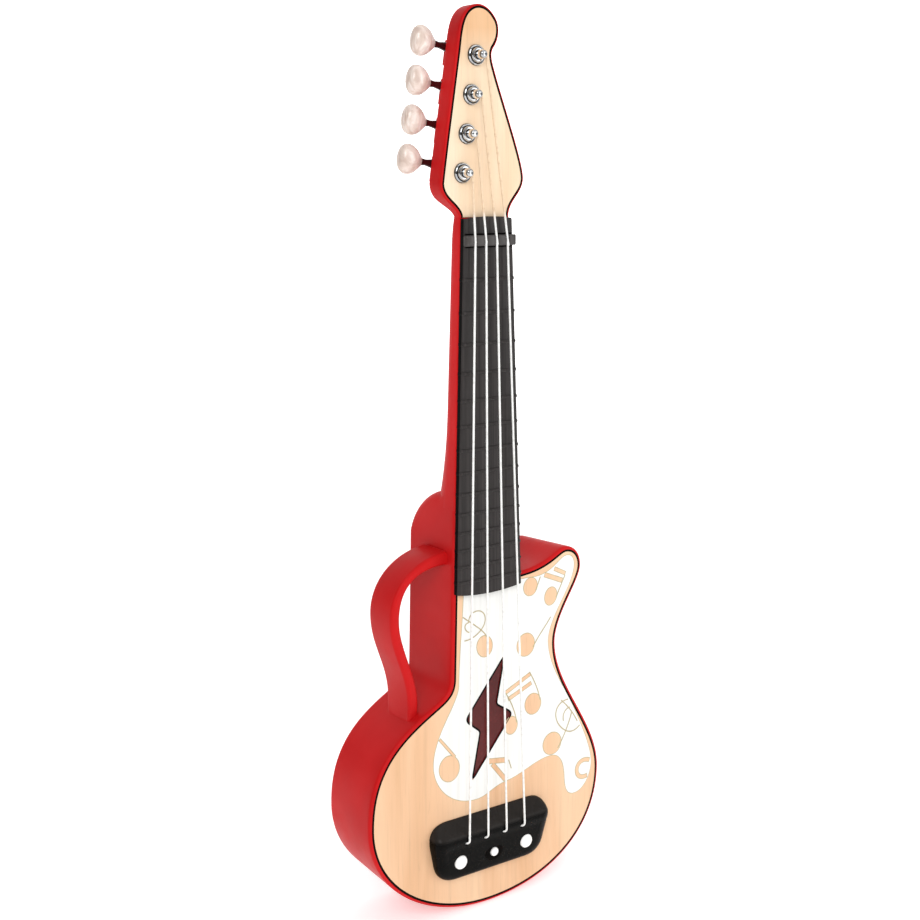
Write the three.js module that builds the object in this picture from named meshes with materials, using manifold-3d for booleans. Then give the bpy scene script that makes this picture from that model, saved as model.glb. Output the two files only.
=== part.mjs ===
// Toy electric guitar: four strings, a light and sound unit in a hollow body, and a side carry handle.
// Millimetres, +Z up along the neck, wooden face towards -Y, +X to the viewer's right.
// The origin is the hanging point, in the middle of the neck just under the headstock's shoulders and in
// the plane of the wooden face.

import * as THREE from 'three';
import { mergeVertices } from 'three/addons/utils/BufferGeometryUtils.js';
import Module from 'manifold-3d';

const wasm = await Module();
wasm.setup();

// ---- Driving dimensions ----

const GAP = 0.3; // between pieces that touch
const RUNNING_GAP = 0.12; // between a shaft and its hole
const THROUGH = 2; // how far a cutting tool runs past the face it cuts
const HALF_TURN = Math.PI;
const ELLIPSE_PULL = 0.5523; // handle length that makes a cubic curve a quarter ellipse

// Strings, nut and frets
const NUT_Z = -16;
const SCALE_LENGTH = 346;
const SADDLE_Z = NUT_Z - SCALE_LENGTH;
const FRET_COUNT = 14;
const STRING_COUNT = 4;
const STRING_RADIUS = 0.6;
const STRING_SIDES = 8;
const NUT_PITCH = 7.4;
const SADDLE_PITCH = 13.6;
const POST_STRING_Y = -5.4;
const NUT_STRING_Y = -6.5;
const SADDLE_STRING_Y = -10.3;

// Fretboard
const BOARD_TOP_Z = -2;
const BOARD_END_Z = -214.8;
const BOARD_END_BULGE = 2;
const BOARD_FRONT_Y = -3.6;
const BOARD_NUT_HALF = 16.9;
const BOARD_TAPER = 0.0312; // half width gained per millimetre below the nut
const FRET_HEIGHT = 0.8;
const FRET_WIDTH = 1.7;
const FRET_OVERHANG = 0.2;
const NUT_SIZE = { height: 6, front: -6.9, overhang: 0.3 };

// Body
const BODY_DEPTH = 47.5;
const RIM = 2.2; // rounded edge of the shell outside the wooden face
const WALL = 2.8;
const DRAFT = 0.02; // share by which the body's outline shrinks from front to back
const DRAFT_CENTRE = { x: 2, z: -300 };
const FACE_THICKNESS = 3;
const BOUT = { x: 2.2, z: -346, halfWidth: 83, bottom: -410.7 };
const SHOULDER = { cornerTop: -265, x: -34, z: -281 };
const WAIST = { x: 50.2, z: -258 };
const HORN = { right: 69.9, rightZ: -212, topX: 60, top: -201.3 };
const CUTAWAY_Z = -211.3;
const HEEL_INSET = 1.7; // the shell's flat front is this much narrower than the fretboard on each side

// Neck and headstock
const NECK_JOINT_Z = -156;
const NECK_TOP_Z = -1.6;
const NECK_TOP_DEPTH = 15.5;
const NECK_DEPTH_GAIN = 5;
const NECK_FLARE = { from: -110, depth: 7 };
const NECK_EASE = { from: -16, loss: 5 }; // the neck thins again as it runs into the headstock
const NECK_REACH = { up: 6, down: 9 }; // how far the neck runs into the headstock and the heel
const NECK_SIDE = 0.5; // the neck stands this much outside the fretboard on each side
const HEEL_DOME = { startY: 13, height: 30 };
const HEADSTOCK_DEPTH = 12;
const HEADSTOCK_RIM = 1.4;
const HEADSTOCK_FOOT = { z: 10, lean: -28 }; // the back slopes in below this height, by these degrees
const HEADSTOCK_SHOULDER = { x: 28, leftZ: 17, rightZ: 20 };
const TENON = { halfWidth: 9, front: 2, back: 11, length: 22 };

// Carry handle
const HANDLE = { front: 7, back: 31, edge: 2, bulge: -61.6, bulgeZ: -227, endZ: -279 };

// Tuners
const POST_FIRST = { x: -14.9, z: 22.7 };
const POST_STEP = { x: 3.2, z: 20.9 };
const TUNER_TILT = THREE.MathUtils.degToRad(9);
const WORM_OFFSET = 3.6;
const SHAFT_Y = 15.5;
const POST_RADIUS = 2;
const BUSHING = { flange: 5.5, dome: 3.6, sleeve: 3.6, front: -2.9, lip: -1.4, back: 6 };
const TUNER_BOX = { front: 12.3, back: 20, inner: -8, outer: 7.8, low: -5.5, high: 8, wall: 1.2 };
const KNOB = { centre: 24.9, halfLength: 7.2, radius: 8.3, flatness: 0.62, collar: 2.4 };
const SHAFT_TIP = 21.5;

// Bridge and its buttons
const BRIDGE = {
  top: -352.3,
  bottom: -389.2,
  topHalf: 44.6,
  bottomHalf: 37.5,
  topCorner: 15,
  bottomCorner: 11,
  crest: -9.4,
  wall: 1.8,
};
const STRING_HOLE_Z = -365.1;
const STRING_HOLE_RADIUS = 2.1;
const BUTTON_Z = -377.2;
const BUTTON_X = 24.3;
const BUTTON_RADIUS = 4.3;
const CENTRE_BUTTON_RADIUS = 2.7;
const BUTTON_TRAVEL = 1.2;
const BUTTON_PLATE_Y = -1.6; // front of the button board

// Bolt window, as its six corners
const BOLT_CORNERS = [
  { x: 13.2, z: -258, r: 4 },
  { x: -15.9, z: -293.2, r: 4 },
  { x: -5, z: -302, r: 2 },
  { x: -11.2, z: -331.8, r: 4 },
  { x: 19.2, z: -295.6, r: 4 },
  { x: 7, z: -287.6, r: 2 },
];

// Inside the body
const CELL = { count: 3, radius: 7.1, length: 48.6, pitch: 15, nub: 2.7, y: 35.2, z: -360 };
const BATTERY_BOX = { half: 25, low: -390.5, high: -329.5, front: 26, back: 44.6, wall: 1.5 };
const DOOR = { half: 23.6, low: -389.4, high: -330.6, front: 45.2, back: 47.3, tongue: 7, tongueTop: -320 };
const SPEAKER = { x: 14, z: -272, radius: 19 };
const MAIN_BOARD = { x: 14, z: -290, width: 56, height: 44, front: 20, back: 21.6 };
const LIGHT_BOARD = { x: 1.5, z: -295, width: 42, height: 78, front: 8, back: 9.6 };
const SCREW = { head: 3, shank: 1.4, headFront: 40, headBack: 42.2, tip: 1.2, boss: 4 };
const SCREW_SPOTS = [
  { x: -60, z: -318 },
  { x: 66, z: -322 },
  { x: -48, z: -382 },
  { x: 52, z: -384 },
  { x: 48, z: -226 },
  { x: -12, z: -238 },
];

// ---- Materials ----

const LOOKS = {
  redPlastic: { color: 0xc4393a, roughness: 0.38, metalness: 0 },
  wood: { color: 0xf0c69c, roughness: 0.55, metalness: 0 },
  blackPlastic: { color: 0x2a2827, roughness: 0.3, metalness: 0 },
  fretboardPlastic: { color: 0x3f3c3b, roughness: 0.5, metalness: 0 },
  whitePlastic: { color: 0xf4f2ee, roughness: 0.35, metalness: 0 },
  nylon: { color: 0xf6f6f4, roughness: 0.3, metalness: 0 },
  pearl: { color: 0xdcc8bc, roughness: 0.25, metalness: 0 },
  smokedRed: { color: 0x5a1f22, roughness: 0.15, metalness: 0 },
  darkShaft: { color: 0x4b1a1c, roughness: 0.35, metalness: 0 },
  chrome: { color: 0xd6d8da, roughness: 0.12, metalness: 1 },
  steel: { color: 0x9a9c9f, roughness: 0.35, metalness: 1 },
  circuitBoard: { color: 0x1f6b3a, roughness: 0.5, metalness: 0 },
  paperCone: { color: 0x22211f, roughness: 0.9, metalness: 0 },
  cellWrap: { color: 0x39424d, roughness: 0.35, metalness: 0.2 },
};

// ---- Solids from three.js geometries ----

function solid(geometry) {
  const bare = geometry.clone();
  bare.deleteAttribute('normal');
  bare.deleteAttribute('uv');
  const merged = mergeVertices(bare, 1e-4);
  const vertProperties = new Float32Array(merged.attributes.position.array);
  const triVerts = new Uint32Array(merged.index.array);
  return new wasm.Manifold(new wasm.Mesh({ numProp: 3, vertProperties, triVerts }));
}

function geometryOf(manifold) {
  const { vertProperties, triVerts } = manifold.getMesh();
  const geometry = new THREE.BufferGeometry();
  geometry.setAttribute('position', new THREE.BufferAttribute(new Float32Array(vertProperties), 3));
  geometry.setIndex(new THREE.BufferAttribute(new Uint32Array(triVerts), 1));
  geometry.computeVertexNormals();
  return geometry;
}

function join(...solids) {
  return solids.reduce((whole, next) => whole.add(next));
}

function cut(base, ...tools) {
  return tools.reduce((whole, tool) => whole.subtract(tool), base);
}

// A slab whose outline is drawn in X and Z, from y = front to y = back. A bevel rounds both its edges:
// the two end faces keep the outline grown by `offset`, and the sides stand `bevel` outside it.
function slabGeometry(shape, front, back, { bevel = 0, offset = 0, curveSegments = 12, steps = 1 } = {}) {
  const geometry = new THREE.ExtrudeGeometry(shape, {
    depth: back - front - 2 * bevel,
    bevelEnabled: bevel > 0,
    bevelThickness: bevel,
    bevelSize: bevel,
    bevelOffset: offset,
    bevelSegments: 2,
    curveSegments,
    steps,
  });
  geometry.rotateX(HALF_TURN / 2);
  geometry.translate(0, back - bevel, 0);
  return geometry;
}

function slab(shape, front, back, options) {
  return solid(slabGeometry(shape, front, back, options));
}

function block(x0, x1, y0, y1, z0, z1) {
  const geometry = new THREE.BoxGeometry(x1 - x0, y1 - y0, z1 - z0);
  geometry.translate((x0 + x1) / 2, (y0 + y1) / 2, (z0 + z1) / 2);
  return solid(geometry);
}

// A round bar along Y.
function bar(x, z, front, back, radius, sides = 16) {
  const geometry = new THREE.CylinderGeometry(radius, radius, back - front, sides);
  geometry.translate(x, (front + back) / 2, z);
  return solid(geometry);
}

// A turned solid about the Y axis, its profile given as [radius, y] pairs of rising y.
function turned(profile, sides = 16) {
  const points = profile.map(([radius, y]) => new THREE.Vector2(radius, y));
  return new THREE.LatheGeometry(points, sides);
}

// A round rod between two points.
function rod(start, end, radius, sides) {
  const length = start.distanceTo(end);
  const geometry = new THREE.CylinderGeometry(radius, radius, length, sides);
  const direction = end.clone().sub(start).normalize();
  const turn = new THREE.Quaternion().setFromUnitVectors(new THREE.Vector3(0, 1, 0), direction);
  geometry.applyQuaternion(turn);
  geometry.translate((start.x + end.x) / 2, (start.y + end.y) / 2, (start.z + end.z) / 2);
  return solid(geometry);
}

function outlineShape(points) {
  return new THREE.Shape(points);
}

// The points of a drawn outline, without the closing one that repeats the first.
function outlinePoints(shape, divisions) {
  const points = shape.getPoints(divisions);
  return points.filter((point, i) => i === 0 || point.distanceTo(points[0]) > 0.01);
}

// A closed outline moved outwards by a distance. The points run anticlockwise.
function grown(points, distance) {
  return points.map((point, i) => {
    const before = points[(i + points.length - 1) % points.length];
    const after = points[(i + 1) % points.length];
    const arriving = point.clone().sub(before).normalize();
    const leaving = after.clone().sub(point).normalize();
    const outward = new THREE.Vector2(arriving.y + leaving.y, -arriving.x - leaving.x).normalize();
    const spread = Math.max(outward.dot(new THREE.Vector2(leaving.y, -leaving.x)), 0.5);
    return point.clone().addScaledVector(outward, distance / spread);
  });
}

// A polygon with rounded corners, each corner being { x, z, r }, anticlockwise.
function roundedShape(corners) {
  const shape = new THREE.Shape();
  corners.forEach((corner, i) => {
    const here = new THREE.Vector2(corner.x, corner.z);
    const before = corners[(i + corners.length - 1) % corners.length];
    const after = corners[(i + 1) % corners.length];
    const towards = (other) => new THREE.Vector2(other.x, other.z).sub(here).setLength(corner.r).add(here);
    const enter = towards(before);
    const leave = towards(after);
    if (i === 0) {
      shape.moveTo(enter.x, enter.y);
    } else {
      shape.lineTo(enter.x, enter.y);
    }
    shape.quadraticCurveTo(here.x, here.y, leave.x, leave.y);
  });
  shape.closePath();
  return shape;
}

// ---- Outlines ----

function boardHalf(z) {
  return BOARD_NUT_HALF + BOARD_TAPER * (NUT_Z - z);
}

function heelHalf(z) {
  return boardHalf(z) - HEEL_INSET;
}

// The outline from the left wall, round the bout, waist and horn, to the cutaway's end at the fretboard.
function drawBody(shape) {
  const { x, z, halfWidth, bottom } = BOUT;
  const left = x - halfWidth;
  const right = x + halfWidth;
  const drop = z - bottom;
  const wallX = -heelHalf(SHOULDER.cornerTop);
  shape.lineTo(wallX, SHOULDER.cornerTop);
  shape.bezierCurveTo(wallX, SHOULDER.cornerTop - 9, -27, SHOULDER.z + 3.8, SHOULDER.x, SHOULDER.z);
  shape.bezierCurveTo(-55, SHOULDER.z - 11.5, left, z + 41, left, z);
  shape.bezierCurveTo(left, z - drop * ELLIPSE_PULL, x - halfWidth * ELLIPSE_PULL, bottom, x, bottom);
  shape.bezierCurveTo(x + halfWidth * 0.6, bottom, right, z - drop * 0.6, right, z);
  shape.bezierCurveTo(right, z + 28, WAIST.x, WAIST.z - 29, WAIST.x, WAIST.z);
  shape.bezierCurveTo(WAIST.x, WAIST.z + 18, HORN.right, HORN.rightZ - 10, HORN.right, HORN.rightZ);
  shape.bezierCurveTo(HORN.right, HORN.rightZ + 6.5, HORN.topX + 5.5, HORN.top, HORN.topX, HORN.top);
  shape.bezierCurveTo(HORN.topX - 6, HORN.top, 47, CUTAWAY_Z, heelHalf(CUTAWAY_Z), CUTAWAY_Z);
}

// The wooden face ends straight across, under the fretboard.
function faceOutline() {
  const shape = new THREE.Shape();
  shape.moveTo(-heelHalf(CUTAWAY_Z), CUTAWAY_Z);
  drawBody(shape);
  return outlinePoints(shape, 9);
}

// The shell runs on upwards as the heel block, as wide as the fretboard.
function shellOutline() {
  const shape = new THREE.Shape();
  shape.moveTo(heelHalf(NECK_JOINT_Z), NECK_JOINT_Z);
  shape.lineTo(-heelHalf(NECK_JOINT_Z), NECK_JOINT_Z);
  drawBody(shape);
  return outlinePoints(shape, 9);
}

// The headstock: slanted left edge, rounded scroll with a notch at the top, wide shoulders below.
function headstockOutline() {
  const shape = new THREE.Shape();
  const foot = boardHalf(NECK_TOP_Z) - 1;
  const { x, leftZ, rightZ } = HEADSTOCK_SHOULDER;
  shape.moveTo(foot, NECK_TOP_Z);
  shape.bezierCurveTo(foot, 8, x - 1.5, 12, x - 1.8, rightZ);
  shape.bezierCurveTo(x - 2, 30, 9, 68, 5, 82);
  shape.bezierCurveTo(4, 86, 4.4, 88, 5.6, 90);
  shape.bezierCurveTo(10, 95, 10.5, 102, 6.5, 106);
  shape.bezierCurveTo(2, 112, -6, 113, -11, 107);
  shape.bezierCurveTo(-15, 102, -15.5, 94, -16.6, 87);
  shape.bezierCurveTo(-19, 72, -25.5, 35, -x, leftZ);
  shape.bezierCurveTo(-x + 0.2, 8, -foot - 1, 6, -foot, NECK_TOP_Z);
  return outlinePoints(shape, 7);
}

function boltShape(spread) {
  const cx = 1.5;
  const cz = -295;
  const corners = BOLT_CORNERS.map(({ x, z, r }) => ({
    x: cx + (x - cx) * spread,
    z: cz + (z - cz) * spread,
    r,
  }));
  return roundedShape(corners);
}

function bridgeShape(inset) {
  const { top, bottom, topHalf, bottomHalf, topCorner, bottomCorner } = BRIDGE;
  return roundedShape([
    { x: topHalf - inset, z: top - inset, r: topCorner - inset },
    { x: -topHalf + inset, z: top - inset, r: topCorner - inset },
    { x: -bottomHalf + inset, z: bottom + inset, r: bottomCorner - inset },
    { x: bottomHalf - inset, z: bottom + inset, r: bottomCorner - inset },
  ]);
}

// ---- Shells ----

// The outline shrinks a little towards the back, as a moulded tub does, and stays level at its top.
function drafted(geometry, top) {
  const position = geometry.attributes.position;
  for (let i = 0; i < position.count; i += 1) {
    const scale = 1 - DRAFT * (position.getY(i) / BODY_DEPTH);
    position.setX(i, DRAFT_CENTRE.x + (position.getX(i) - DRAFT_CENTRE.x) * scale);
    position.setZ(i, Math.min(DRAFT_CENTRE.z + (position.getZ(i) - DRAFT_CENTRE.z) * scale, top));
  }
  return geometry;
}

// The outside of the body without its hollow, grown all round by a clearance.
function bodyBlank(clearance) {
  const shape = outlineShape(grown(shellOutline(), clearance));
  const blank = slabGeometry(shape, -clearance, BODY_DEPTH + clearance, { bevel: RIM });
  return cut(solid(drafted(blank, NECK_JOINT_Z + clearance)), heelCutter(clearance));
}

// Everything above and behind the rounded heel.
function heelCutter(clearance) {
  const top = NECK_JOINT_Z + clearance;
  const bottom = top - HEEL_DOME.height;
  const back = BODY_DEPTH + clearance;
  const start = HEEL_DOME.startY;
  const shape = new THREE.Shape();
  shape.moveTo(back + THROUGH, bottom);
  shape.lineTo(back, bottom);
  shape.bezierCurveTo(
    back, bottom + HEEL_DOME.height * ELLIPSE_PULL,
    start + (back - start) * ELLIPSE_PULL, top,
    start, top,
  );
  shape.lineTo(start, top + THROUGH);
  shape.lineTo(back + THROUGH, top + THROUGH);
  const width = 80;
  const geometry = new THREE.ExtrudeGeometry(shape, { depth: width, bevelEnabled: false, curveSegments: 8 });
  const turn = new THREE.Matrix4().makeBasis(
    new THREE.Vector3(0, 1, 0),
    new THREE.Vector3(0, 0, 1),
    new THREE.Vector3(1, 0, 0),
  );
  geometry.applyMatrix4(turn);
  geometry.translate(-width / 2, 0, 0);
  return solid(geometry);
}

function soundHoles() {
  const rings = [[0, 1], [5.5, 6], [10.5, 10]];
  const holes = [];
  for (const [radius, count] of rings) {
    for (let i = 0; i < count; i += 1) {
      const angle = (2 * HALF_TURN * i) / count;
      const x = SPEAKER.x + radius * Math.cos(angle);
      const z = SPEAKER.z + radius * Math.sin(angle);
      holes.push(bar(x, z, BODY_DEPTH - WALL - THROUGH, BODY_DEPTH + THROUGH, 1.4, 8));
    }
  }
  return holes;
}

function doorOutline(grow) {
  const shape = new THREE.Shape();
  shape.moveTo(DOOR.half + grow, DOOR.low - grow);
  shape.lineTo(DOOR.half + grow, DOOR.high + grow);
  shape.lineTo(DOOR.tongue + grow, DOOR.high + grow);
  shape.lineTo(DOOR.tongue + grow, DOOR.tongueTop + grow);
  shape.lineTo(-DOOR.tongue - grow, DOOR.tongueTop + grow);
  shape.lineTo(-DOOR.tongue - grow, DOOR.high + grow);
  shape.lineTo(-DOOR.half - grow, DOOR.high + grow);
  shape.lineTo(-DOOR.half - grow, DOOR.low - grow);
  shape.closePath();
  return shape;
}

function screwBosses() {
  const bossFront = FACE_THICKNESS + GAP;
  const bosses = SCREW_SPOTS.map(({ x, z }) => bar(x, z, bossFront, BODY_DEPTH - 1, SCREW.boss, 12));
  const board = MAIN_BOARD;
  for (const side of [-1, 1]) {
    for (const level of [-1, 1]) {
      const x = board.x + side * (board.width / 2 - 3);
      const z = board.z + level * (board.height / 2 - 3);
      bosses.push(bar(x, z, board.back + GAP, BODY_DEPTH - 1, 2.5, 10));
    }
  }
  return bosses;
}

function screwHoles() {
  const holes = [];
  for (const { x, z } of SCREW_SPOTS) {
    holes.push(bar(x, z, 0, BODY_DEPTH, SCREW.shank + GAP, 10));
    holes.push(bar(x, z, SCREW.headFront - GAP, BODY_DEPTH + THROUGH, SCREW.head + 0.5, 14));
  }
  return holes;
}

function bodyShell() {
  const inside = outlineShape(grown(faceOutline(), RIM - WALL));
  const heelRoom = block(-14, 14, -THROUGH, 30, NECK_JOINT_Z - 52, NECK_JOINT_Z - TENON.length - 8);
  const tenonSlot = block(
    -TENON.halfWidth - GAP, TENON.halfWidth + GAP,
    -THROUGH, TENON.back + GAP,
    NECK_JOINT_Z - TENON.length - GAP, NECK_JOINT_Z + THROUGH,
  );
  const cavity = solid(drafted(slabGeometry(inside, 0, BODY_DEPTH - WALL), NECK_JOINT_Z));
  const tub = cut(
    bodyBlank(0),
    slab(outlineShape(faceOutline()), -THROUGH, FACE_THICKNESS + GAP),
    cavity,
    heelRoom,
    tenonSlot,
    slab(doorOutline(GAP), BODY_DEPTH - WALL - THROUGH, BODY_DEPTH + THROUGH),
    ...soundHoles(),
  );
  return cut(join(tub, ...screwBosses()), ...screwHoles());
}

function neckDepth(z) {
  const down = (NECK_TOP_Z - z) / (NECK_TOP_Z - NECK_JOINT_Z);
  const flare = Math.max(0, (NECK_FLARE.from - z) / (NECK_FLARE.from - NECK_JOINT_Z));
  const ease = Math.max(0, (z - NECK_EASE.from) / (NECK_TOP_Z + NECK_REACH.up - NECK_EASE.from));
  return NECK_TOP_DEPTH + NECK_DEPTH_GAIN * down + NECK_FLARE.depth * flare ** 2 - NECK_EASE.loss * ease ** 2;
}

// The neck's section is drawn one unit half-wide and one unit deep, then stretched at each height.
function neckBlank() {
  const edge = 0.06;
  const side = 0.3;
  const shape = new THREE.Shape();
  shape.moveTo(-1 + edge, 0);
  shape.lineTo(1 - edge, 0);
  shape.lineTo(1, edge);
  shape.lineTo(1, side);
  shape.bezierCurveTo(1, side + 0.4, ELLIPSE_PULL, 1, 0, 1);
  shape.bezierCurveTo(-ELLIPSE_PULL, 1, -1, side + 0.4, -1, side);
  shape.lineTo(-1, edge);
  shape.closePath();
  const bottom = NECK_JOINT_Z - NECK_REACH.down;
  const length = NECK_TOP_Z + NECK_REACH.up - bottom;
  const geometry = new THREE.ExtrudeGeometry(shape, {
    depth: length,
    bevelEnabled: false,
    curveSegments: 5,
    steps: 10,
  });
  geometry.translate(0, 0, bottom);
  const position = geometry.attributes.position;
  for (let i = 0; i < position.count; i += 1) {
    const z = position.getZ(i);
    position.setX(i, position.getX(i) * (boardHalf(z) + NECK_SIDE));
    position.setY(i, position.getY(i) * neckDepth(z));
  }
  return solid(geometry);
}

function headstockPocket() {
  const inside = slab(outlineShape(grown(headstockOutline(), -3)), FACE_THICKNESS, HEADSTOCK_DEPTH - 2.5);
  const keep = postSpots().map(({ x, z }) => bar(x, z, 0, HEADSTOCK_DEPTH, 6.5, 14));
  return cut(inside, ...keep, block(-40, 40, 0, 20, -30, 8));
}

function postSpots() {
  return Array.from({ length: STRING_COUNT }, (_, i) => ({
    x: POST_FIRST.x + i * POST_STEP.x,
    z: POST_FIRST.z + i * POST_STEP.z,
  }));
}

function neckShell() {
  const slope = block(-40, 40, 0, 20, -30, 0)
    .rotate([HEADSTOCK_FOOT.lean, 0, 0])
    .translate([0, HEADSTOCK_DEPTH, HEADSTOCK_FOOT.z]);
  const blank = slab(outlineShape(headstockOutline()), 0, HEADSTOCK_DEPTH, { bevel: HEADSTOCK_RIM });
  const tray = cut(blank, slope);
  const channel = block(-10, 10, -THROUGH, 8, NECK_JOINT_Z + 8, BOARD_TOP_Z - 8);
  const tenon = block(
    -TENON.halfWidth, TENON.halfWidth,
    TENON.front, TENON.back,
    NECK_JOINT_Z - TENON.length, NECK_JOINT_Z + 4,
  );
  const holes = [];
  for (const { x, z } of postSpots()) {
    holes.push(bar(x, z, -THROUGH, BUSHING.back + GAP, BUSHING.sleeve + GAP));
    holes.push(bar(x, z, -THROUGH, HEADSTOCK_DEPTH + THROUGH, POST_RADIUS + GAP));
  }
  const faceRoom = slab(outlineShape(headstockOutline()), -THROUGH, FACE_THICKNESS + GAP);
  const neck = join(cut(neckBlank(), bodyBlank(GAP)), tray, tenon);
  return cut(neck, faceRoom, headstockPocket(), channel, ...holes);
}

// The handle leaves the side wall near the heel, bulges out and comes back down onto the bout's shoulder.
function carryHandle() {
  const { front, back, edge, bulge, bulgeZ, endZ } = HANDLE;
  const thickness = 6.3;
  const shape = new THREE.Shape();
  const inner = bulge + thickness;
  shape.moveTo(-20, -191);
  shape.lineTo(-24.5, -191);
  shape.bezierCurveTo(-44, -193, bulge, -206, bulge, bulgeZ);
  shape.bezierCurveTo(bulge, bulgeZ - 20, -50.4, endZ + 21, -50.4, endZ);
  shape.lineTo(-51, endZ - 18);
  shape.lineTo(-44, endZ - 18);
  shape.lineTo(-43.6, endZ + 1);
  shape.bezierCurveTo(-43.6, endZ + 17, inner, bulgeZ - 16, inner, bulgeZ - 1);
  shape.bezierCurveTo(inner, -205, -40, -199, -24.5, -199);
  shape.lineTo(-20, -199.5);
  shape.closePath();
  const points = outlinePoints(shape, 9);
  const band = slab(outlineShape(points), front, back, { bevel: edge, offset: -edge });
  return cut(band, bodyBlank(GAP));
}

// ---- Wooden faces and fretboard ----

function bodyFace() {
  const panel = slab(outlineShape(grown(faceOutline(), -GAP)), 0, FACE_THICKNESS);
  const window = slab(boltShape(1.03), -THROUGH, FACE_THICKNESS + THROUGH, { curveSegments: 5 });
  const wireHole = bar(0, BUTTON_Z, -THROUGH, FACE_THICKNESS + THROUGH, 5);
  const pilotRadius = SCREW.shank + GAP;
  const pilotFloor = SCREW.tip - GAP;
  const pilots = SCREW_SPOTS.map(({ x, z }) => bar(x, z, pilotFloor, FACE_THICKNESS + 1, pilotRadius, 10));
  return cut(panel, window, wireHole, ...pilots);
}

function headstockFace() {
  const panel = slab(outlineShape(grown(headstockOutline(), -GAP)), 0, FACE_THICKNESS);
  const holeRadius = BUSHING.sleeve + GAP;
  return cut(panel, ...postSpots().map(({ x, z }) => bar(x, z, -1, FACE_THICKNESS + 1, holeRadius)));
}

function fretHeight(number) {
  return NUT_Z - SCALE_LENGTH * (1 - 2 ** (-number / 12));
}

function fretboard() {
  const topHalf = boardHalf(BOARD_TOP_Z);
  const endHalf = boardHalf(BOARD_END_Z);
  const shape = new THREE.Shape();
  shape.moveTo(topHalf, BOARD_TOP_Z);
  shape.lineTo(-topHalf, BOARD_TOP_Z);
  shape.lineTo(-endHalf, BOARD_END_Z);
  shape.quadraticCurveTo(0, BOARD_END_Z - 2 * BOARD_END_BULGE, endHalf, BOARD_END_Z);
  shape.closePath();
  const board = slab(shape, BOARD_FRONT_Y, -GAP, { curveSegments: 8 });
  const frets = [];
  for (let number = 1; number <= FRET_COUNT; number += 1) {
    const z = fretHeight(number);
    const half = boardHalf(z) + FRET_OVERHANG;
    const top = BOARD_FRONT_Y - FRET_HEIGHT;
    frets.push(block(-half, half, top, BOARD_FRONT_Y + 1, z - FRET_WIDTH / 2, z + FRET_WIDTH / 2));
  }
  return join(board, ...frets);
}

function stringX(index, pitch) {
  return (index - (STRING_COUNT - 1) / 2) * pitch;
}

function nut() {
  const half = boardHalf(NUT_Z) + NUT_SIZE.overhang;
  const low = NUT_Z - 1;
  const high = low + NUT_SIZE.height;
  const barSolid = block(-half, half, NUT_SIZE.front, BOARD_FRONT_Y - GAP, low, high);
  const slots = [];
  for (let i = 0; i < STRING_COUNT; i += 1) {
    const x = stringX(i, NUT_PITCH);
    const reach = STRING_RADIUS + 2 * GAP;
    const floor = NUT_STRING_Y + STRING_RADIUS + GAP;
    slots.push(block(x - reach, x + reach, NUT_SIZE.front - 1, floor, low - 1, high + 1));
  }
  return cut(barSolid, ...slots);
}

// Post winding, nut slot, saddle crest, the bend over the hole and the hole: a string runs through them.
function stringSolid(index) {
  const post = postSpots()[index];
  const start = new THREE.Vector3(post.x + 3.2, POST_STRING_Y, post.z - 4.5);
  const atNut = new THREE.Vector3(stringX(index, NUT_PITCH), NUT_STRING_Y, NUT_Z + 1);
  const atSaddle = new THREE.Vector3(stringX(index, SADDLE_PITCH), SADDLE_STRING_Y, SADDLE_Z);
  const atBend = new THREE.Vector3(atSaddle.x, SADDLE_STRING_Y + 0.15, STRING_HOLE_Z + 1.4);
  const atHole = new THREE.Vector3(atSaddle.x, SADDLE_STRING_Y + 4.3, STRING_HOLE_Z);
  const points = [start, atNut, atSaddle, atBend, atHole];
  const pieces = [];
  for (let i = 0; i < points.length - 1; i += 1) {
    pieces.push(rod(points[i], points[i + 1], STRING_RADIUS, STRING_SIDES));
  }
  return join(...pieces);
}

// ---- Bridge, buttons and lens ----

// The bridge's side view: a short upper ramp to the crest, then a long gentle lower face.
function bridgeProfile(inset, back) {
  const { top, bottom, crest } = BRIDGE;
  const shape = new THREE.Shape();
  shape.moveTo(back, top + 1);
  shape.lineTo(-1.8 + inset, top + 1);
  shape.lineTo(crest + inset, SADDLE_Z + 1.5);
  shape.lineTo(crest + inset, SADDLE_Z - 1.5);
  shape.lineTo(crest + 0.6 + inset, SADDLE_Z - 4);
  shape.lineTo(-5 + inset, bottom + 1.2);
  shape.lineTo(-3.6 + inset, bottom - 1);
  shape.lineTo(back, bottom - 1);
  shape.closePath();
  const width = 2 * BRIDGE.topHalf + THROUGH;
  const geometry = new THREE.ExtrudeGeometry(shape, { depth: width, bevelEnabled: false });
  const turn = new THREE.Matrix4().makeBasis(
    new THREE.Vector3(0, 1, 0),
    new THREE.Vector3(0, 0, 1),
    new THREE.Vector3(1, 0, 0),
  );
  geometry.applyMatrix4(turn);
  geometry.translate(-width / 2, 0, 0);
  return solid(geometry);
}

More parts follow.
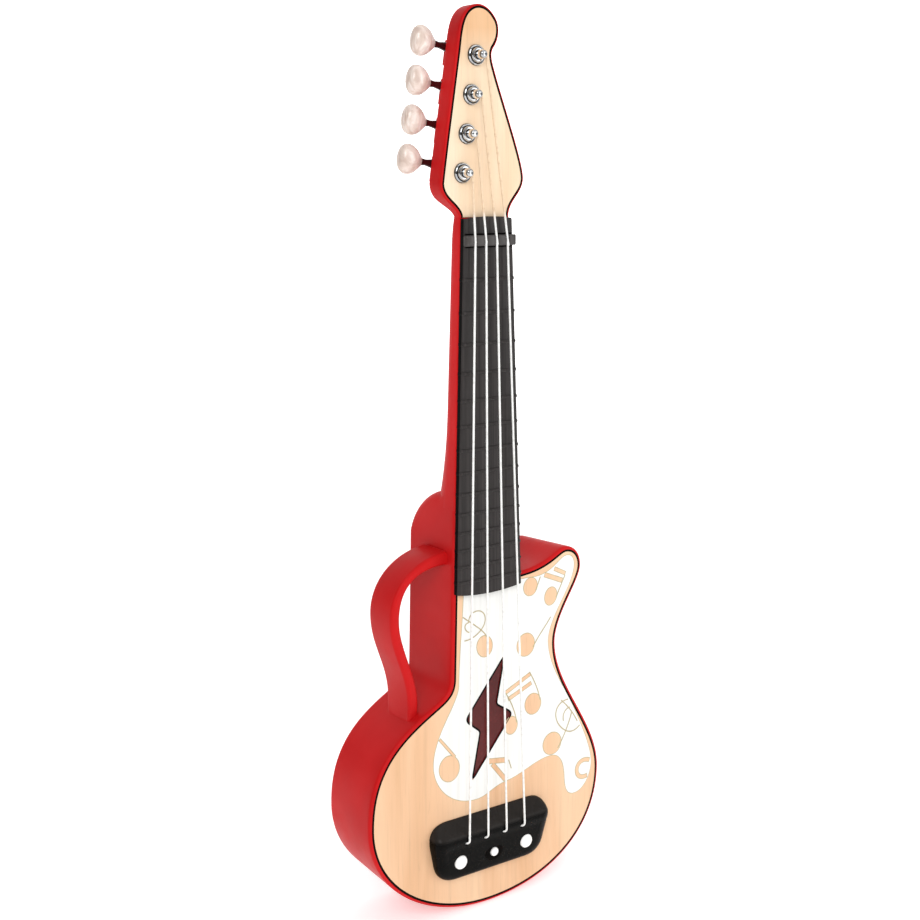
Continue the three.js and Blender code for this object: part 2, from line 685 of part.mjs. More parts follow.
function bridgeHousing() {
  const outer = slab(bridgeShape(0), -20, -GAP).intersect(bridgeProfile(0, -GAP));
  const inside = slab(bridgeShape(BRIDGE.wall), -20, THROUGH);
  const room = inside.intersect(bridgeProfile(BRIDGE.wall, THROUGH));
  const ring = bar(0, BUTTON_Z, -7.4, -5.2, 5.4, 24);
  const tools = [
    bar(-BUTTON_X, BUTTON_Z, -20, 0, BUTTON_RADIUS + GAP, 24),
    bar(BUTTON_X, BUTTON_Z, -20, 0, BUTTON_RADIUS + GAP, 24),
    bar(0, BUTTON_Z, -20, 0, CENTRE_BUTTON_RADIUS + GAP, 20),
    block(-40, 40, -THROUGH, THROUGH, BRIDGE.bottom, BRIDGE.bottom + 0.1),
  ];
  for (let i = 0; i < STRING_COUNT; i += 1) {
    tools.push(bar(stringX(i, SADDLE_PITCH), STRING_HOLE_Z, -20, 0, STRING_HOLE_RADIUS, 10));
  }
  return cut(join(cut(outer, room), ring), ...tools);
}

// A cap that stands out of the housing, on a wider flange that keeps it in.
function button(x, radius, capFront) {
  const flangeFront = BUTTON_PLATE_Y - BUTTON_TRAVEL - 1;
  const cap = new THREE.LatheGeometry(
    [
      new THREE.Vector2(0, capFront),
      new THREE.Vector2(radius - 0.8, capFront),
      new THREE.Vector2(radius, capFront + 0.8),
      new THREE.Vector2(radius, flangeFront + 0.5),
      new THREE.Vector2(0, flangeFront + 0.5),
    ],
    24,
  );
  cap.translate(x, 0, BUTTON_Z);
  return join(solid(cap), bar(x, BUTTON_Z, flangeFront, flangeFront + 1, radius + 1, 20));
}

function buttonBoard() {
  const plate = block(-31, 31, BUTTON_PLATE_Y + GAP, BUTTON_PLATE_Y + 1.2, BUTTON_Z - 7.5, BUTTON_Z + 7.5);
  return cut(plate, bar(0, BUTTON_Z - 5, -5, 2, 1, 8));
}

function boltLens() {
  const window = slab(boltShape(1), 0.1, FACE_THICKNESS + 1, { curveSegments: 5 });
  const flange = slab(boltShape(1.16), FACE_THICKNESS + GAP, FACE_THICKNESS + 1.5, { curveSegments: 5 });
  return join(window, flange);
}

function lightShroud() {
  const { x, z, width, height, front } = LIGHT_BOARD;
  const back = front - GAP;
  const start = FACE_THICKNESS + 1.5 + GAP;
  const halfW = width / 2;
  const halfH = height / 2;
  const outer = block(x - halfW, x + halfW, start, back, z - halfH, z + halfH);
  const inner = block(x - halfW + 2, x + halfW - 2, start - 1, back + 1, z - halfH + 2, z + halfH - 2);
  return cut(outer, inner);
}

function lightBoard() {
  const { x, z, width, height, front, back } = LIGHT_BOARD;
  const plate = block(x - width / 2, x + width / 2, front, back, z - height / 2, z + height / 2);
  const lamps = [-22, 0, 22].map((level) => bar(x, z + level, front - 2.2, front + 0.5, 2.5, 12));
  return join(plate, ...lamps);
}

// ---- Tuners, in a frame whose origin is the post's axis in the plane of the headstock's face ----

function bushing() {
  const { flange, dome, sleeve, front, lip, back } = BUSHING;
  const bore = POST_RADIUS + RUNNING_GAP;
  const profile = [
    [bore, front], [dome, front], [dome + 0.5, front + 0.9], [dome + 0.5, lip],
    [flange - 0.4, lip], [flange, lip + 0.5], [flange, -GAP],
    [sleeve, -GAP], [sleeve, back], [bore, back], [bore, front],
  ];
  return solid(turned(profile, 16));
}

function stringPost() {
  const profile = [
    [0, -8.2], [1.7, -8.2], [2.2, -7.7], [2.2, -7], [1.7, -6.5], [1.7, -4.4], [2.3, -4], [2.3, -3.3],
    [POST_RADIUS, -3.2], [POST_RADIUS, 14.2], [2.3, 14.2], [2.3, 16.8], [0, 16.8],
  ];
  return solid(turned(profile, 12));
}

// The worm, its shaft and the tapered sleeve outside the headstock, lying along X.
function pegShaft() {
  const profile = [
    [0, -6.2], [1, -6.2], [1, 4], [1.4, 4], [1.4, 8.2], [2.5, 9], [1.35, 17.4],
    [1.35, SHAFT_TIP], [0, SHAFT_TIP],
  ];
  const geometry = turned(profile, 12);
  geometry.rotateZ(HALF_TURN / 2);
  geometry.translate(0, SHAFT_Y, WORM_OFFSET);
  return solid(geometry);
}

function pegKnob() {
  const { centre, halfLength, radius, flatness, collar } = KNOB;
  const profile = [[0, centre - halfLength], [collar, centre - halfLength]];
  const steps = 6;
  for (let i = 1; i <= steps; i += 1) {
    const angle = HALF_TURN * (0.12 + (0.88 * i) / steps);
    profile.push([Math.max(radius * Math.sin(angle), 0), centre - halfLength * Math.cos(angle)]);
  }
  const geometry = turned(profile, 16);
  geometry.rotateZ(HALF_TURN / 2);
  geometry.scale(1, flatness, 1);
  geometry.translate(0, SHAFT_Y, WORM_OFFSET);
  const bore = new THREE.CylinderGeometry(1.35 + GAP, 1.35 + GAP, 12, 14);
  bore.rotateZ(HALF_TURN / 2);
  bore.translate(-SHAFT_TIP + 6 - GAP, SHAFT_Y, WORM_OFFSET);
  return cut(solid(geometry), solid(bore));
}

function tunerHousing() {
  const { front, back, inner, outer, low, high, wall } = TUNER_BOX;
  const box = block(-outer, -inner, front, back, low, high);
  const room = block(-outer + wall, -inner - wall, front - 1, back - wall, low + wall, high - wall);
  const shaftHole = new THREE.CylinderGeometry(1.4 + RUNNING_GAP, 1.4 + RUNNING_GAP, 6, 14);
  shaftHole.rotateZ(HALF_TURN / 2);
  shaftHole.translate(-outer, SHAFT_Y, WORM_OFFSET);
  return cut(box, room, solid(shaftHole));
}

// ---- Inside the body ----

function batteryBox() {
  const { half, low, high, front, back, wall } = BATTERY_BOX;
  const box = block(-half, half, front, back, low, high);
  const room = block(-half + wall, half - wall, front + wall, back + 1, low + wall, high - wall);
  const screwBlock = block(-6, 6, back - 12, back, high - 1, DOOR.tongueTop);
  const screwHole = bar(0, doorScrewZ(), back - 10, back + 1, SCREW.shank + GAP, 10);
  return cut(join(cut(box, room), screwBlock), screwHole);
}

function doorScrewZ() {
  return (DOOR.high + DOOR.tongueTop) / 2;
}

function batteryCell(index) {
  const { radius, length, nub } = CELL;
  const profile = [
    [0, -length / 2], [radius - 0.6, -length / 2], [radius, -length / 2 + 0.6],
    [radius, length / 2 - 0.6], [radius - 0.6, length / 2], [nub, length / 2],
    [nub, length / 2 + 1.3], [0, length / 2 + 1.3],
  ];
  const geometry = turned(profile, 20);
  geometry.rotateX(index % 2 === 0 ? HALF_TURN / 2 : -HALF_TURN / 2);
  geometry.translate((index - 1) * CELL.pitch, CELL.y, CELL.z);
  return solid(geometry);
}

function contactPlate(side) {
  const { half, low, high, wall } = BATTERY_BOX;
  const wallZ = side > 0 ? high - wall - GAP : low + wall + GAP;
  const near = Math.min(wallZ, wallZ - side * 0.5);
  const far = Math.max(wallZ, wallZ - side * 0.5);
  const plate = block(-half + 2.5, half - 2.5, 29.5, 41, near, far);
  const studs = [];
  for (let i = 0; i < CELL.count; i += 1) {
    const stud = new THREE.CylinderGeometry(2, 3.4, 1.4, 12);
    stud.rotateX(side > 0 ? -HALF_TURN / 2 : HALF_TURN / 2);
    stud.translate((i - 1) * CELL.pitch, CELL.y, wallZ - side * 1.0);
    studs.push(solid(stud));
  }
  return join(plate, ...studs);
}

function batteryDoor() {
  const plate = slab(doorOutline(0), DOOR.front, DOOR.back);
  const recess = bar(0, doorScrewZ(), DOOR.back - 1.2, DOOR.back + 1, SCREW.head + GAP, 16);
  return cut(plate, recess, bar(0, doorScrewZ(), DOOR.front - 1, DOOR.back, SCREW.shank + GAP, 12));
}

function screwSolid(x, z, headFront, headBack, tip) {
  const slot = block(x - SCREW.head, x + SCREW.head, headBack - 0.8, headBack + 1, z - 0.4, z + 0.4);
  const crossSlot = block(x - 0.4, x + 0.4, headBack - 0.8, headBack + 1, z - SCREW.head, z + SCREW.head);
  const head = bar(x, z, headFront, headBack, SCREW.head, 16);
  const shank = bar(x, z, tip, headFront + 0.5, SCREW.shank, 10);
  return cut(join(head, shank), slot, crossSlot);
}

function speakerFrame() {
  const profile = [
    [9, 36.5], [10.2, 36.5], [17.4, 42.6], [SPEAKER.radius, 42.6], [SPEAKER.radius, 44.5],
    [16, 44.5], [16, 43], [9, 37.6], [9, 36.5],
  ];
  const geometry = turned(profile, 20);
  geometry.translate(SPEAKER.x, 0, SPEAKER.z);
  return solid(geometry);
}

function speakerCone() {
  const profile = [[0, 38], [6, 37.8], [15.6, 43.4], [15.6, 44.2], [6, 38.8], [0, 39.4]];
  const geometry = turned(profile, 20);
  geometry.translate(SPEAKER.x, 0, SPEAKER.z);
  return solid(geometry);
}

function speakerMagnet() {
  return join(bar(SPEAKER.x, SPEAKER.z, 28, 36.2, 11, 24), bar(SPEAKER.x, SPEAKER.z, 35.5, 37.4, 4, 16));
}

function mainBoard() {
  const { x, z, width, height, front, back } = MAIN_BOARD;
  const plate = block(x - width / 2, x + width / 2, front, back, z - height / 2, z + height / 2);
  const chip = block(x - 18, x - 8, front - 1.6, front + 0.5, z - 5, z + 5);
  const capacitors = [4, 12].map((step) => bar(x + step, z + 10, front - 6, front + 0.5, 3, 12));
  const socket = block(x + 14, x + 24, front - 5, front + 0.5, z - 16, z - 10);
  return join(plate, chip, ...capacitors, socket);
}

// ---- Assembly ----

const guitar = new THREE.Group();

function addPart(name, body, look, parent = guitar) {
  const mesh = new THREE.Mesh(geometryOf(body), new THREE.MeshStandardMaterial(LOOKS[look]));
  mesh.name = name;
  parent.add(mesh);
}

function addShells() {
  addPart('body_shell', bodyShell(), 'redPlastic');
  addPart('neck_shell', neckShell(), 'redPlastic');
  addPart('carry_handle', carryHandle(), 'redPlastic');
  addPart('body_face', bodyFace(), 'wood');
  addPart('headstock_face', headstockFace(), 'wood');
  addPart('fretboard', fretboard(), 'fretboardPlastic');
  addPart('nut', nut(), 'blackPlastic');
  SCREW_SPOTS.forEach(({ x, z }, i) => {
    const screw = screwSolid(x, z, SCREW.headFront, SCREW.headBack, SCREW.tip);
    addPart(`shell_screw_${i + 1}`, screw, 'steel');
  });
}

function addBridge() {
  addPart('bridge_housing', bridgeHousing(), 'blackPlastic');
  addPart('left_button', button(-BUTTON_X, BUTTON_RADIUS, -7.6), 'whitePlastic');
  addPart('right_button', button(BUTTON_X, BUTTON_RADIUS, -7.6), 'whitePlastic');
  addPart('centre_button', button(0, CENTRE_BUTTON_RADIUS, -8), 'whitePlastic');
  addPart('button_board', buttonBoard(), 'circuitBoard');
}

function addTuner(index) {
  const spot = postSpots()[index];
  const tuner = new THREE.Group();
  tuner.position.set(spot.x, 0, spot.z);
  tuner.rotation.y = TUNER_TILT;
  guitar.add(tuner);
  const number = index + 1;
  addPart(`tuner_housing_${number}`, tunerHousing(), 'redPlastic', tuner);
  addPart(`tuner_bushing_${number}`, bushing(), 'chrome', tuner);
  addPart(`string_post_${number}`, stringPost(), 'chrome', tuner);
  addPart(`peg_shaft_${number}`, pegShaft(), 'darkShaft', tuner);
  addPart(`peg_knob_${number}`, pegKnob(), 'pearl', tuner);
}

function addElectronics() {
  addPart('bolt_lens', boltLens(), 'smokedRed');
  addPart('light_shroud', lightShroud(), 'whitePlastic');
  addPart('light_board', lightBoard(), 'circuitBoard');
  addPart('main_board', mainBoard(), 'circuitBoard');
  addPart('speaker_frame', speakerFrame(), 'steel');
  addPart('speaker_cone', speakerCone(), 'paperCone');
  addPart('speaker_magnet', speakerMagnet(), 'steel');
  addPart('battery_box', batteryBox(), 'blackPlastic');
  for (let i = 0; i < CELL.count; i += 1) {
    addPart(`battery_${i + 1}`, batteryCell(i), 'cellWrap');
  }
  addPart('upper_contact', contactPlate(1), 'steel');
  addPart('lower_contact', contactPlate(-1), 'steel');
  addPart('battery_door', batteryDoor(), 'redPlastic');
  addPart('battery_door_screw', screwSolid(0, doorScrewZ(), DOOR.back - 1, DOOR.back, 38), 'steel');
}

addShells();
addBridge();
for (let i = 0; i < STRING_COUNT; i += 1) {
  addPart(`string_${i + 1}`, stringSolid(i), 'nylon');
  addTuner(i);
}
addElectronics();

export default guitar;
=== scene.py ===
"""Looks for the toy electric guitar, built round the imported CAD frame.

Outlines and profiles are in millimetres, in the CAD frame; meshes are made in metres.
"""

import math

import bmesh
import bpy
from mathutils import Matrix, Vector
from mathutils.geometry import tessellate_polygon


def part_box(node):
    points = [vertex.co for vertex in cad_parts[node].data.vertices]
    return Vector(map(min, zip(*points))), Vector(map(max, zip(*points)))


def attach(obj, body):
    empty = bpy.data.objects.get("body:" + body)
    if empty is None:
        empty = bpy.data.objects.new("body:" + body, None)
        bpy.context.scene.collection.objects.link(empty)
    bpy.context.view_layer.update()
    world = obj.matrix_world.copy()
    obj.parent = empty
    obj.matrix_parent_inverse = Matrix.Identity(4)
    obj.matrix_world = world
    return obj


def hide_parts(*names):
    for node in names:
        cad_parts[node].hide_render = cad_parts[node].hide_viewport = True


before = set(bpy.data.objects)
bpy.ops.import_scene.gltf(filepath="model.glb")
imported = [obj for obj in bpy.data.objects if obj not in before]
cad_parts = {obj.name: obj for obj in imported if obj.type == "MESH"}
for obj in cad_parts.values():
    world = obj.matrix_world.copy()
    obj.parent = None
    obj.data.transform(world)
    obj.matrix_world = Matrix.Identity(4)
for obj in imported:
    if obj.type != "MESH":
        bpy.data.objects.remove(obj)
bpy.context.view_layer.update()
SCENE = bpy.context.scene
MM = 0.001


def placed(name, data):
    """A new object in the scene."""
    thing = bpy.data.objects.new(name, data)
    SCENE.collection.objects.link(thing)
    return thing


# ---- Camera ----

VIEW_PLACE = (-0.4758, -0.6537, 0.0161)
VIEW_YAW = math.radians(35.003)
VIEW_PITCH = math.radians(10.838)
VIEW_ROLL = math.radians(-0.455)
VIEW_LENS = 56.15
VIEW_SENSOR = 36
VIEW_REACH = 20


def make_camera():
    level = Vector((math.cos(VIEW_YAW), -math.sin(VIEW_YAW), 0))
    ahead = Vector((math.sin(VIEW_YAW), math.cos(VIEW_YAW), 0))
    forward = ahead * math.cos(VIEW_PITCH) - Vector((0, 0, math.sin(VIEW_PITCH)))
    upright = level.cross(forward)
    right = level * math.cos(VIEW_ROLL) + upright * math.sin(VIEW_ROLL)
    up = upright * math.cos(VIEW_ROLL) - level * math.sin(VIEW_ROLL)
    camera = bpy.data.cameras.new("view")
    camera.lens = VIEW_LENS
    camera.sensor_width = VIEW_SENSOR
    camera.clip_end = VIEW_REACH
    holder = placed("view", camera)
    axes = Matrix((right, up, -forward)).transposed().to_4x4()
    holder.matrix_world = Matrix.Translation(VIEW_PLACE) @ axes
    SCENE.camera = holder


make_camera()

# ---- Materials ----


def linear(code):
    """A #RRGGBB colour as linear red, green, blue, alpha."""
    channels = [int(code[i : i + 2], 16) / 255 for i in (1, 3, 5)]
    return (*[c / 12.92 if c <= 0.04045 else ((c + 0.055) / 1.055) ** 2.4 for c in channels], 1)


class Nodes:
    """A node tree under construction."""

    def __init__(self, tree):
        self.tree = tree

    def node(self, kind, **settings):
        made = self.tree.nodes.new(kind)
        for key, value in settings.items():
            setattr(made, key, value)
        return made

    def plug(self, value, socket):
        if isinstance(value, bpy.types.NodeSocket):
            self.tree.links.new(value, socket)
        else:
            socket.default_value = value

    def math(self, operation, first, second):
        node = self.node("ShaderNodeMath", operation=operation)
        self.plug(first, node.inputs[0])
        self.plug(second, node.inputs[1])
        return node.outputs[0]

    def mapped(self, value, from_low, from_high, to_low=0, to_high=1):
        """A value moved from one range to another, and held inside it."""
        node = self.node("ShaderNodeMapRange")
        self.plug(value, node.inputs["Value"])
        node.inputs["From Min"].default_value = from_low
        node.inputs["From Max"].default_value = from_high
        node.inputs["To Min"].default_value = to_low
        node.inputs["To Max"].default_value = to_high
        return node.outputs["Result"]

    def camera_ray(self):
        """1 for what the camera sees directly, 0 for light that falls on the object."""
        return self.node("ShaderNodeLightPath").outputs["Is Camera Ray"]


class Look(Nodes):
    """The node material of a piece or of the floor."""

    def __init__(self, name):
        self.material = bpy.data.materials.new(name)
        self.material.use_nodes = True
        super().__init__(self.material.node_tree)
        self.shader = self.tree.nodes["Principled BSDF"]
        self.place = self.node("ShaderNodeTexCoord").outputs["Object"]

    def put(self, name, value):
        self.plug(value, self.shader.inputs[name])

    def stretched(self, scale):
        """Object coordinates in metres, multiplied by a scale along each axis."""
        mapping = self.node("ShaderNodeMapping")
        self.plug(self.place, mapping.inputs["Vector"])
        mapping.inputs["Scale"].default_value = scale
        return mapping.outputs["Vector"]

    def noise(self, scale, detail=3, rough=0.5, warp=0):
        """Fractal noise with that many features to the metre along each axis, from 0 to 1."""
        node = self.node("ShaderNodeTexNoise")
        scale = scale if isinstance(scale, tuple) else (scale, scale, scale)
        self.plug(self.stretched(scale), node.inputs["Vector"])
        node.inputs["Scale"].default_value = 1
        node.inputs["Detail"].default_value = detail
        node.inputs["Roughness"].default_value = rough
        node.inputs["Distortion"].default_value = warp
        return node.outputs["Fac"]

    def ramp(self, value, *stops):
        """Colours or numbers at positions: (position, colour code or number)."""
        node = self.node("ShaderNodeValToRGB")
        elements = node.color_ramp.elements
        while len(elements) < len(stops):
            elements.new(0.5)
        for element, (position, shade) in zip(elements, stops):
            element.position = position
            element.color = linear(shade) if isinstance(shade, str) else (shade, shade, shade, 1)
        self.plug(value, node.inputs["Fac"])
        return node.outputs["Color"]

    def mix(self, share, first, second, blend="MIX"):
        """Two colours mixed; the Mix node keeps its colour sockets at these numbers."""
        node = self.node("ShaderNodeMix", data_type="RGBA", blend_type=blend)
        self.plug(share, node.inputs["Factor"])
        self.plug(first, node.inputs[6])
        self.plug(second, node.inputs[7])
        return node.outputs[2]

    def multiply(self, first, second):
        return self.mix(1, first, second, "MULTIPLY")

    def span(self, value, low, high):
        """Noise, which stays mostly between 0.3 and 0.7, stretched to run from low to high."""
        return self.mapped(value, 0.3, 0.7, low, high)

    def bump(self, height, depth_mm, after=None):
        """Tilts the surface by a height that spans that depth in millimetres."""
        node = self.node("ShaderNodeBump")
        node.inputs["Strength"].default_value = 1
        node.inputs["Distance"].default_value = depth_mm * MM
        self.plug(height, node.inputs["Height"])
        if after is not None:
            self.plug(after, node.inputs["Normal"])
        return node.outputs["Normal"]

    def height_share(self, low, high):
        """0 below one height in metres, 1 above another."""
        parts = self.node("ShaderNodeSeparateXYZ")
        self.plug(self.place, parts.inputs[0])
        return self.mapped(parts.outputs["Z"], low, high)

    def pointiness(self, *stops):
        """A ramp from hollows, below 0.5, to outer edges, above 0.5."""
        return self.ramp(self.node("ShaderNodeNewGeometry").outputs["Pointiness"], *stops)


def moulded(name, colour, paler, darker, gloss=(0.28, 0.4), grain=0.02, coat=0.0, shine=0.3):
    """Moulded plastic: slow colour drift, paler edges that are partly wear and partly a painted highlight,
    fine surface ripple.
    """
    look = Look(name)
    drift = look.ramp(look.noise(14, 4), (0.3, darker), (0.5, colour), (0.7, paler))
    # Paler outer edges: partly wear, partly a painted highlight where light catches the edges.
    edges = look.pointiness((0.52, 0.0), (0.6, 1.0))
    wear_and_edge_highlight = look.math("MULTIPLY", edges, look.span(look.noise(160, 4), 0.1, 0.55))
    look.put("Base Color", look.mix(wear_and_edge_highlight, drift, linear(paler)))
    look.put("Roughness", look.span(look.noise(55, 5, 0.6), *gloss))
    ripple = look.bump(look.noise(420, 3), grain)
    look.put("Normal", look.bump(look.noise(2600, 2), grain * 0.25, ripple))
    look.put("Coat Weight", coat)
    look.put("Coat Roughness", 0.12)
    look.put("Specular IOR Level", shine)
    return look.material


def bridge_black(name):
    """Glossy black plastic; the ramp above the crest gets a paler base colour, a painted sheen where light
    falls on it.
    """
    look = Look(name)
    # Painted highlight: paler black above the crest height stands in for the sheen on the upper ramp.
    painted_sheen = look.mix(look.height_share(-0.3618, -0.3598), linear("#040403"), linear("#2C2927"))
    drift = look.ramp(look.noise(40, 4), (0.3, 0.8), (0.7, 1.0))
    look.put("Base Color", look.multiply(painted_sheen, drift))
    look.put("Roughness", look.span(look.noise(55, 5, 0.6), 0.2, 0.32))
    look.put("Normal", look.bump(look.noise(420, 3), 0.02))
    look.put("Specular IOR Level", 0.07)
    return look.material


def timber(name, pale, body, dark, darkening=None):
    """Clear-coated pale plywood, its grain running up the guitar; it may darken between two heights."""
    look = Look(name)
    broad = look.noise((26, 26, 3.2), 4, 0.55, 0.6)
    fine = look.noise((420, 420, 9), 5, 0.65, 0.25)
    pores = look.noise((1500, 1500, 60), 2, 0.5)
    base = look.ramp(broad, (0.3, dark), (0.47, body), (0.66, pale))
    lines = look.ramp(fine, (0.36, 0.80), (0.5, 1.0), (0.64, 0.93))
    streaked = look.mix(0.34, base, look.multiply(base, lines))
    flecks = look.ramp(pores, (0.27, 0.86), (0.36, 1.0))
    colour = look.multiply(streaked, flecks)
    if darkening:
        deeper = look.multiply(colour, linear("#EFD6BE"))
        colour = look.mix(look.height_share(*darkening), colour, deeper)
    look.put("Base Color", colour)
    look.put("Roughness", look.span(fine, 0.38, 0.55))
    ridge = look.bump(fine, 0.035)
    look.put("Normal", look.bump(pores, 0.02, ridge))
    look.put("Specular IOR Level", 0.3)
    look.put("Coat Weight", 0.1)
    look.put("Coat Roughness", 0.3)
    return look.material


def printed(name, pale, body):
    """White lacquer printed on the wood, whose grain shows faintly through."""
    look = Look(name)
    grain = look.noise((300, 300, 8), 4, 0.6)
    look.put("Base Color", look.ramp(grain, (0.32, body), (0.55, pale)))
    look.put("Roughness", look.span(look.noise(90, 3), 0.3, 0.42))
    look.put("Normal", look.bump(grain, 0.02))
    look.put("Coat Weight", 0.2)
    return look.material


def streaked(name, colour, paler, darker):
    """Matt plastic with fine lengthwise streaks, as on a moulded fretboard."""
    look = Look(name)
    streaks = look.noise((900, 900, 5), 4, 0.6)
    broad = look.noise((120, 120, 10), 3)
    tone = look.ramp(streaks, (0.35, darker), (0.5, colour), (0.68, paler))
    look.put("Base Color", look.mix(look.span(broad, 0.0, 0.35), tone, linear(paler)))
    look.put("Roughness", look.span(streaks, 0.36, 0.55))
    fine = look.bump(streaks, 0.03)
    look.put("Normal", look.bump(look.noise(1800, 2), 0.01, fine))
    look.put("Specular IOR Level", 0.25)
    return look.material


def metal(name, colour, paler, gloss, brushed=0.0):
    """Plated or bare metal with faint smears and, where asked, brushing; its recesses are darkened with
    painted shade.
    """
    look = Look(name)
    smears = look.noise(130, 5, 0.6)
    shine = look.ramp(smears, (0.3, colour), (0.8, paler))
    # Painted shade: the base colour darkens in recesses, standing in for shade and dark reflections there.
    painted_hollow_shade = look.pointiness((0.44, 0.04), (0.5, 1.0))
    look.put("Base Color", look.multiply(shine, painted_hollow_shade))
    look.put("Metallic", 1)
    look.put("Roughness", look.span(smears, *gloss))
    lines = look.noise((2400, 2400, 60) if brushed else (500, 500, 500), 3)
    look.put("Normal", look.bump(lines, 0.004 + brushed * 0.02))
    return look.material


def pearl(name):
    """Swirled pearly plastic, as on tuner buttons."""
    look = Look(name)
    swirl = look.noise((70, 160, 45), 5, 0.6, 2.5)
    cloud = look.noise(40, 3)
    tone = look.ramp(swirl, (0.32, "#C9B0A3"), (0.48, "#DCC8BC"), (0.62, "#EFE2DA"))
    look.put("Base Color", look.mix(look.span(cloud, 0, 0.4), tone, linear("#E8D6CA")))
    look.put("Roughness", look.span(swirl, 0.16, 0.3))
    look.put("Normal", look.bump(swirl, 0.03))
    look.put("Coat Weight", 0.6)
    look.put("Coat Roughness", 0.08)
    look.put("Subsurface Weight", 0.08)
    look.put("Subsurface Radius", (0.004, 0.003, 0.002))
    return look.material


def lens(name):
    """Smoked red window with a faint prismatic texture behind it; the facets' light and dark patches are a
    painted reflection in the base colour.
    """
    look = Look(name)
    cells = look.node("ShaderNodeTexVoronoi")
    look.plug(look.stretched((420,) * 3), cells.inputs["Vector"])
    cells.inputs["Scale"].default_value = 1
    depth = look.noise((30, 30, 18), 3)
    tone = look.ramp(depth, (0.3, "#400E0E"), (0.5, "#541514"), (0.7, "#641C1A"))
    # Painted reflection: facets lighter at their middles and darker at their edges.
    painted_glints = look.ramp(cells.outputs["Distance"], (0.0, "#6A1E21"), (0.55, "#380B0E"))
    look.put("Base Color", look.mix(0.22, tone, painted_glints))
    look.put("Roughness", look.span(look.noise(60, 3), 0.1, 0.2))
    look.put("Normal", look.bump(cells.outputs["Distance"], 0.015))
    look.put("Specular IOR Level", 0.2)
    look.put("Coat Weight", 0.1)
    look.put("Coat Roughness", 0.05)
    return look.material


def board_green(name):
    """Circuit board: solder mask over a weave of copper tracks."""
    look = Look(name)
    tracks = look.node("ShaderNodeTexBrick")
    look.plug(look.stretched((260,) * 3), tracks.inputs["Vector"])
    tracks.inputs["Scale"].default_value = 1
    tracks.inputs["Color1"].default_value = linear("#1B6136")
    tracks.inputs["Color2"].default_value = linear("#23733F")
    tracks.inputs["Mortar"].default_value = linear("#2F8A4E")
    tracks.inputs["Mortar Size"].default_value = 0.06
    clouded = look.span(look.noise(300, 3), 0, 0.3)
    look.put("Base Color", look.mix(clouded, tracks.outputs["Color"], linear("#174F2C")))
    look.put("Roughness", look.span(look.noise(200, 3), 0.3, 0.5))
    look.put("Normal", look.bump(tracks.outputs["Fac"], 0.04))
    return look.material


def nylon(name):
    """Clear-white nylon; above the nut, where wood lies behind the strings, a wood-coloured tint stands in
    for the wood seen through them and is painted into the base colour.
    """
    look = Look(name)
    tone = look.noise((60, 60, 400), 3)
    white = look.ramp(tone, (0.3, "#E9E9E6"), (0.6, "#F8F8F6"))
    # Painted light: the wood's colour, which shows through the clear nylon, is painted into its base colour
    # above the nut.
    painted_wood_tint = look.ramp(tone, (0.3, "#E3C6A6"), (0.6, "#EDD3B5"))
    look.put("Base Color", look.mix(look.height_share(-0.003, 0.002), white, painted_wood_tint))
    look.put("Roughness", look.span(tone, 0.25, 0.36))
    look.put("Normal", look.bump(look.noise((900, 900, 300), 2), 0.01))
    look.put("Specular IOR Level", 0.3)
    return look.material


def paper(name, colour, darker):
    """Pressed paper pulp."""
    look = Look(name)
    pulp = look.noise(900, 5, 0.7)
    look.put("Base Color", look.ramp(pulp, (0.3, darker), (0.7, colour)))
    look.put("Roughness", look.span(pulp, 0.8, 0.95))
    look.put("Normal", look.bump(pulp, 0.08))
    return look.material


RED = moulded("red_shell", "#C4181A", "#D02426", "#B61215", (0.36, 0.48), 0.02, 0, 0.09)
BLACK = moulded("black_gloss", "#070606", "#161514", "#040303", (0.16, 0.28), 0.02, 0, 0.18)
BRIDGE_BLACK = bridge_black("bridge_black")
NUT_BLACK = moulded("nut_plastic", "#33302F", "#524E4C", "#201E1D", (0.25, 0.38), 0.02, 0, 0.3)
EDGE_BLACK = moulded("edge_black", "#060403", "#0E0A09", "#030202", (0.6, 0.8), 0.02, 0, 0.05)
BOARD_SIDE = moulded("board_side", "#080707", "#131212", "#050404", (0.5, 0.65), 0.02, 0, 0.06)
WHITE = moulded("white_gloss", "#F4F3F0", "#FFFFFF", "#E6E4E0", (0.2, 0.32))
NYLON = nylon("nylon")
SHAFT = moulded("dark_red", "#3E1012", "#5C1D1F", "#2A0A0C", (0.2, 0.34), 0.01, 0.1)
CELL = moulded("cell_wrap", "#39424D", "#5A6570", "#262D35", (0.22, 0.34))
WOOD = timber("body_wood", "#EFCBA6", "#E9BE97", "#DDAD82")
HEAD_WOOD = timber("head_wood", "#F7E3C8", "#F4DABA", "#EDCDA9", (0.078, 0.1))
PANEL = printed("white_print", "#F1F1EE", "#E8E8E4")
NOTE_LINE = printed("note_outline", "#BCAE88", "#AC9D76")
FRETBOARD = streaked("fretboard", "#2A2625", "#3A3534", "#1D1A19")
CHROME = metal("chrome", "#9EA1A4", "#D9DBDD", (0.04, 0.1))
# Painted shade: a dark material on the grooves of the chrome turnings, standing in for shadow and dark
# reflection there.
GROOVE_SHADE = moulded("painted_groove_shade", "#0F0E0E", "#1B1A1A", "#080808", (0.3, 0.45), 0.01, 0, 0.3)
STEEL = metal("steel", "#9A9C9F", "#D4D6D8", (0.28, 0.42), 1.0)
PEARL = pearl("pearl")
LENS = lens("smoked_red")
GREEN = board_green("circuit_board")
CONE = paper("paper_cone", "#2A2927", "#1A1918")

# ---- Outlines, in millimetres ----


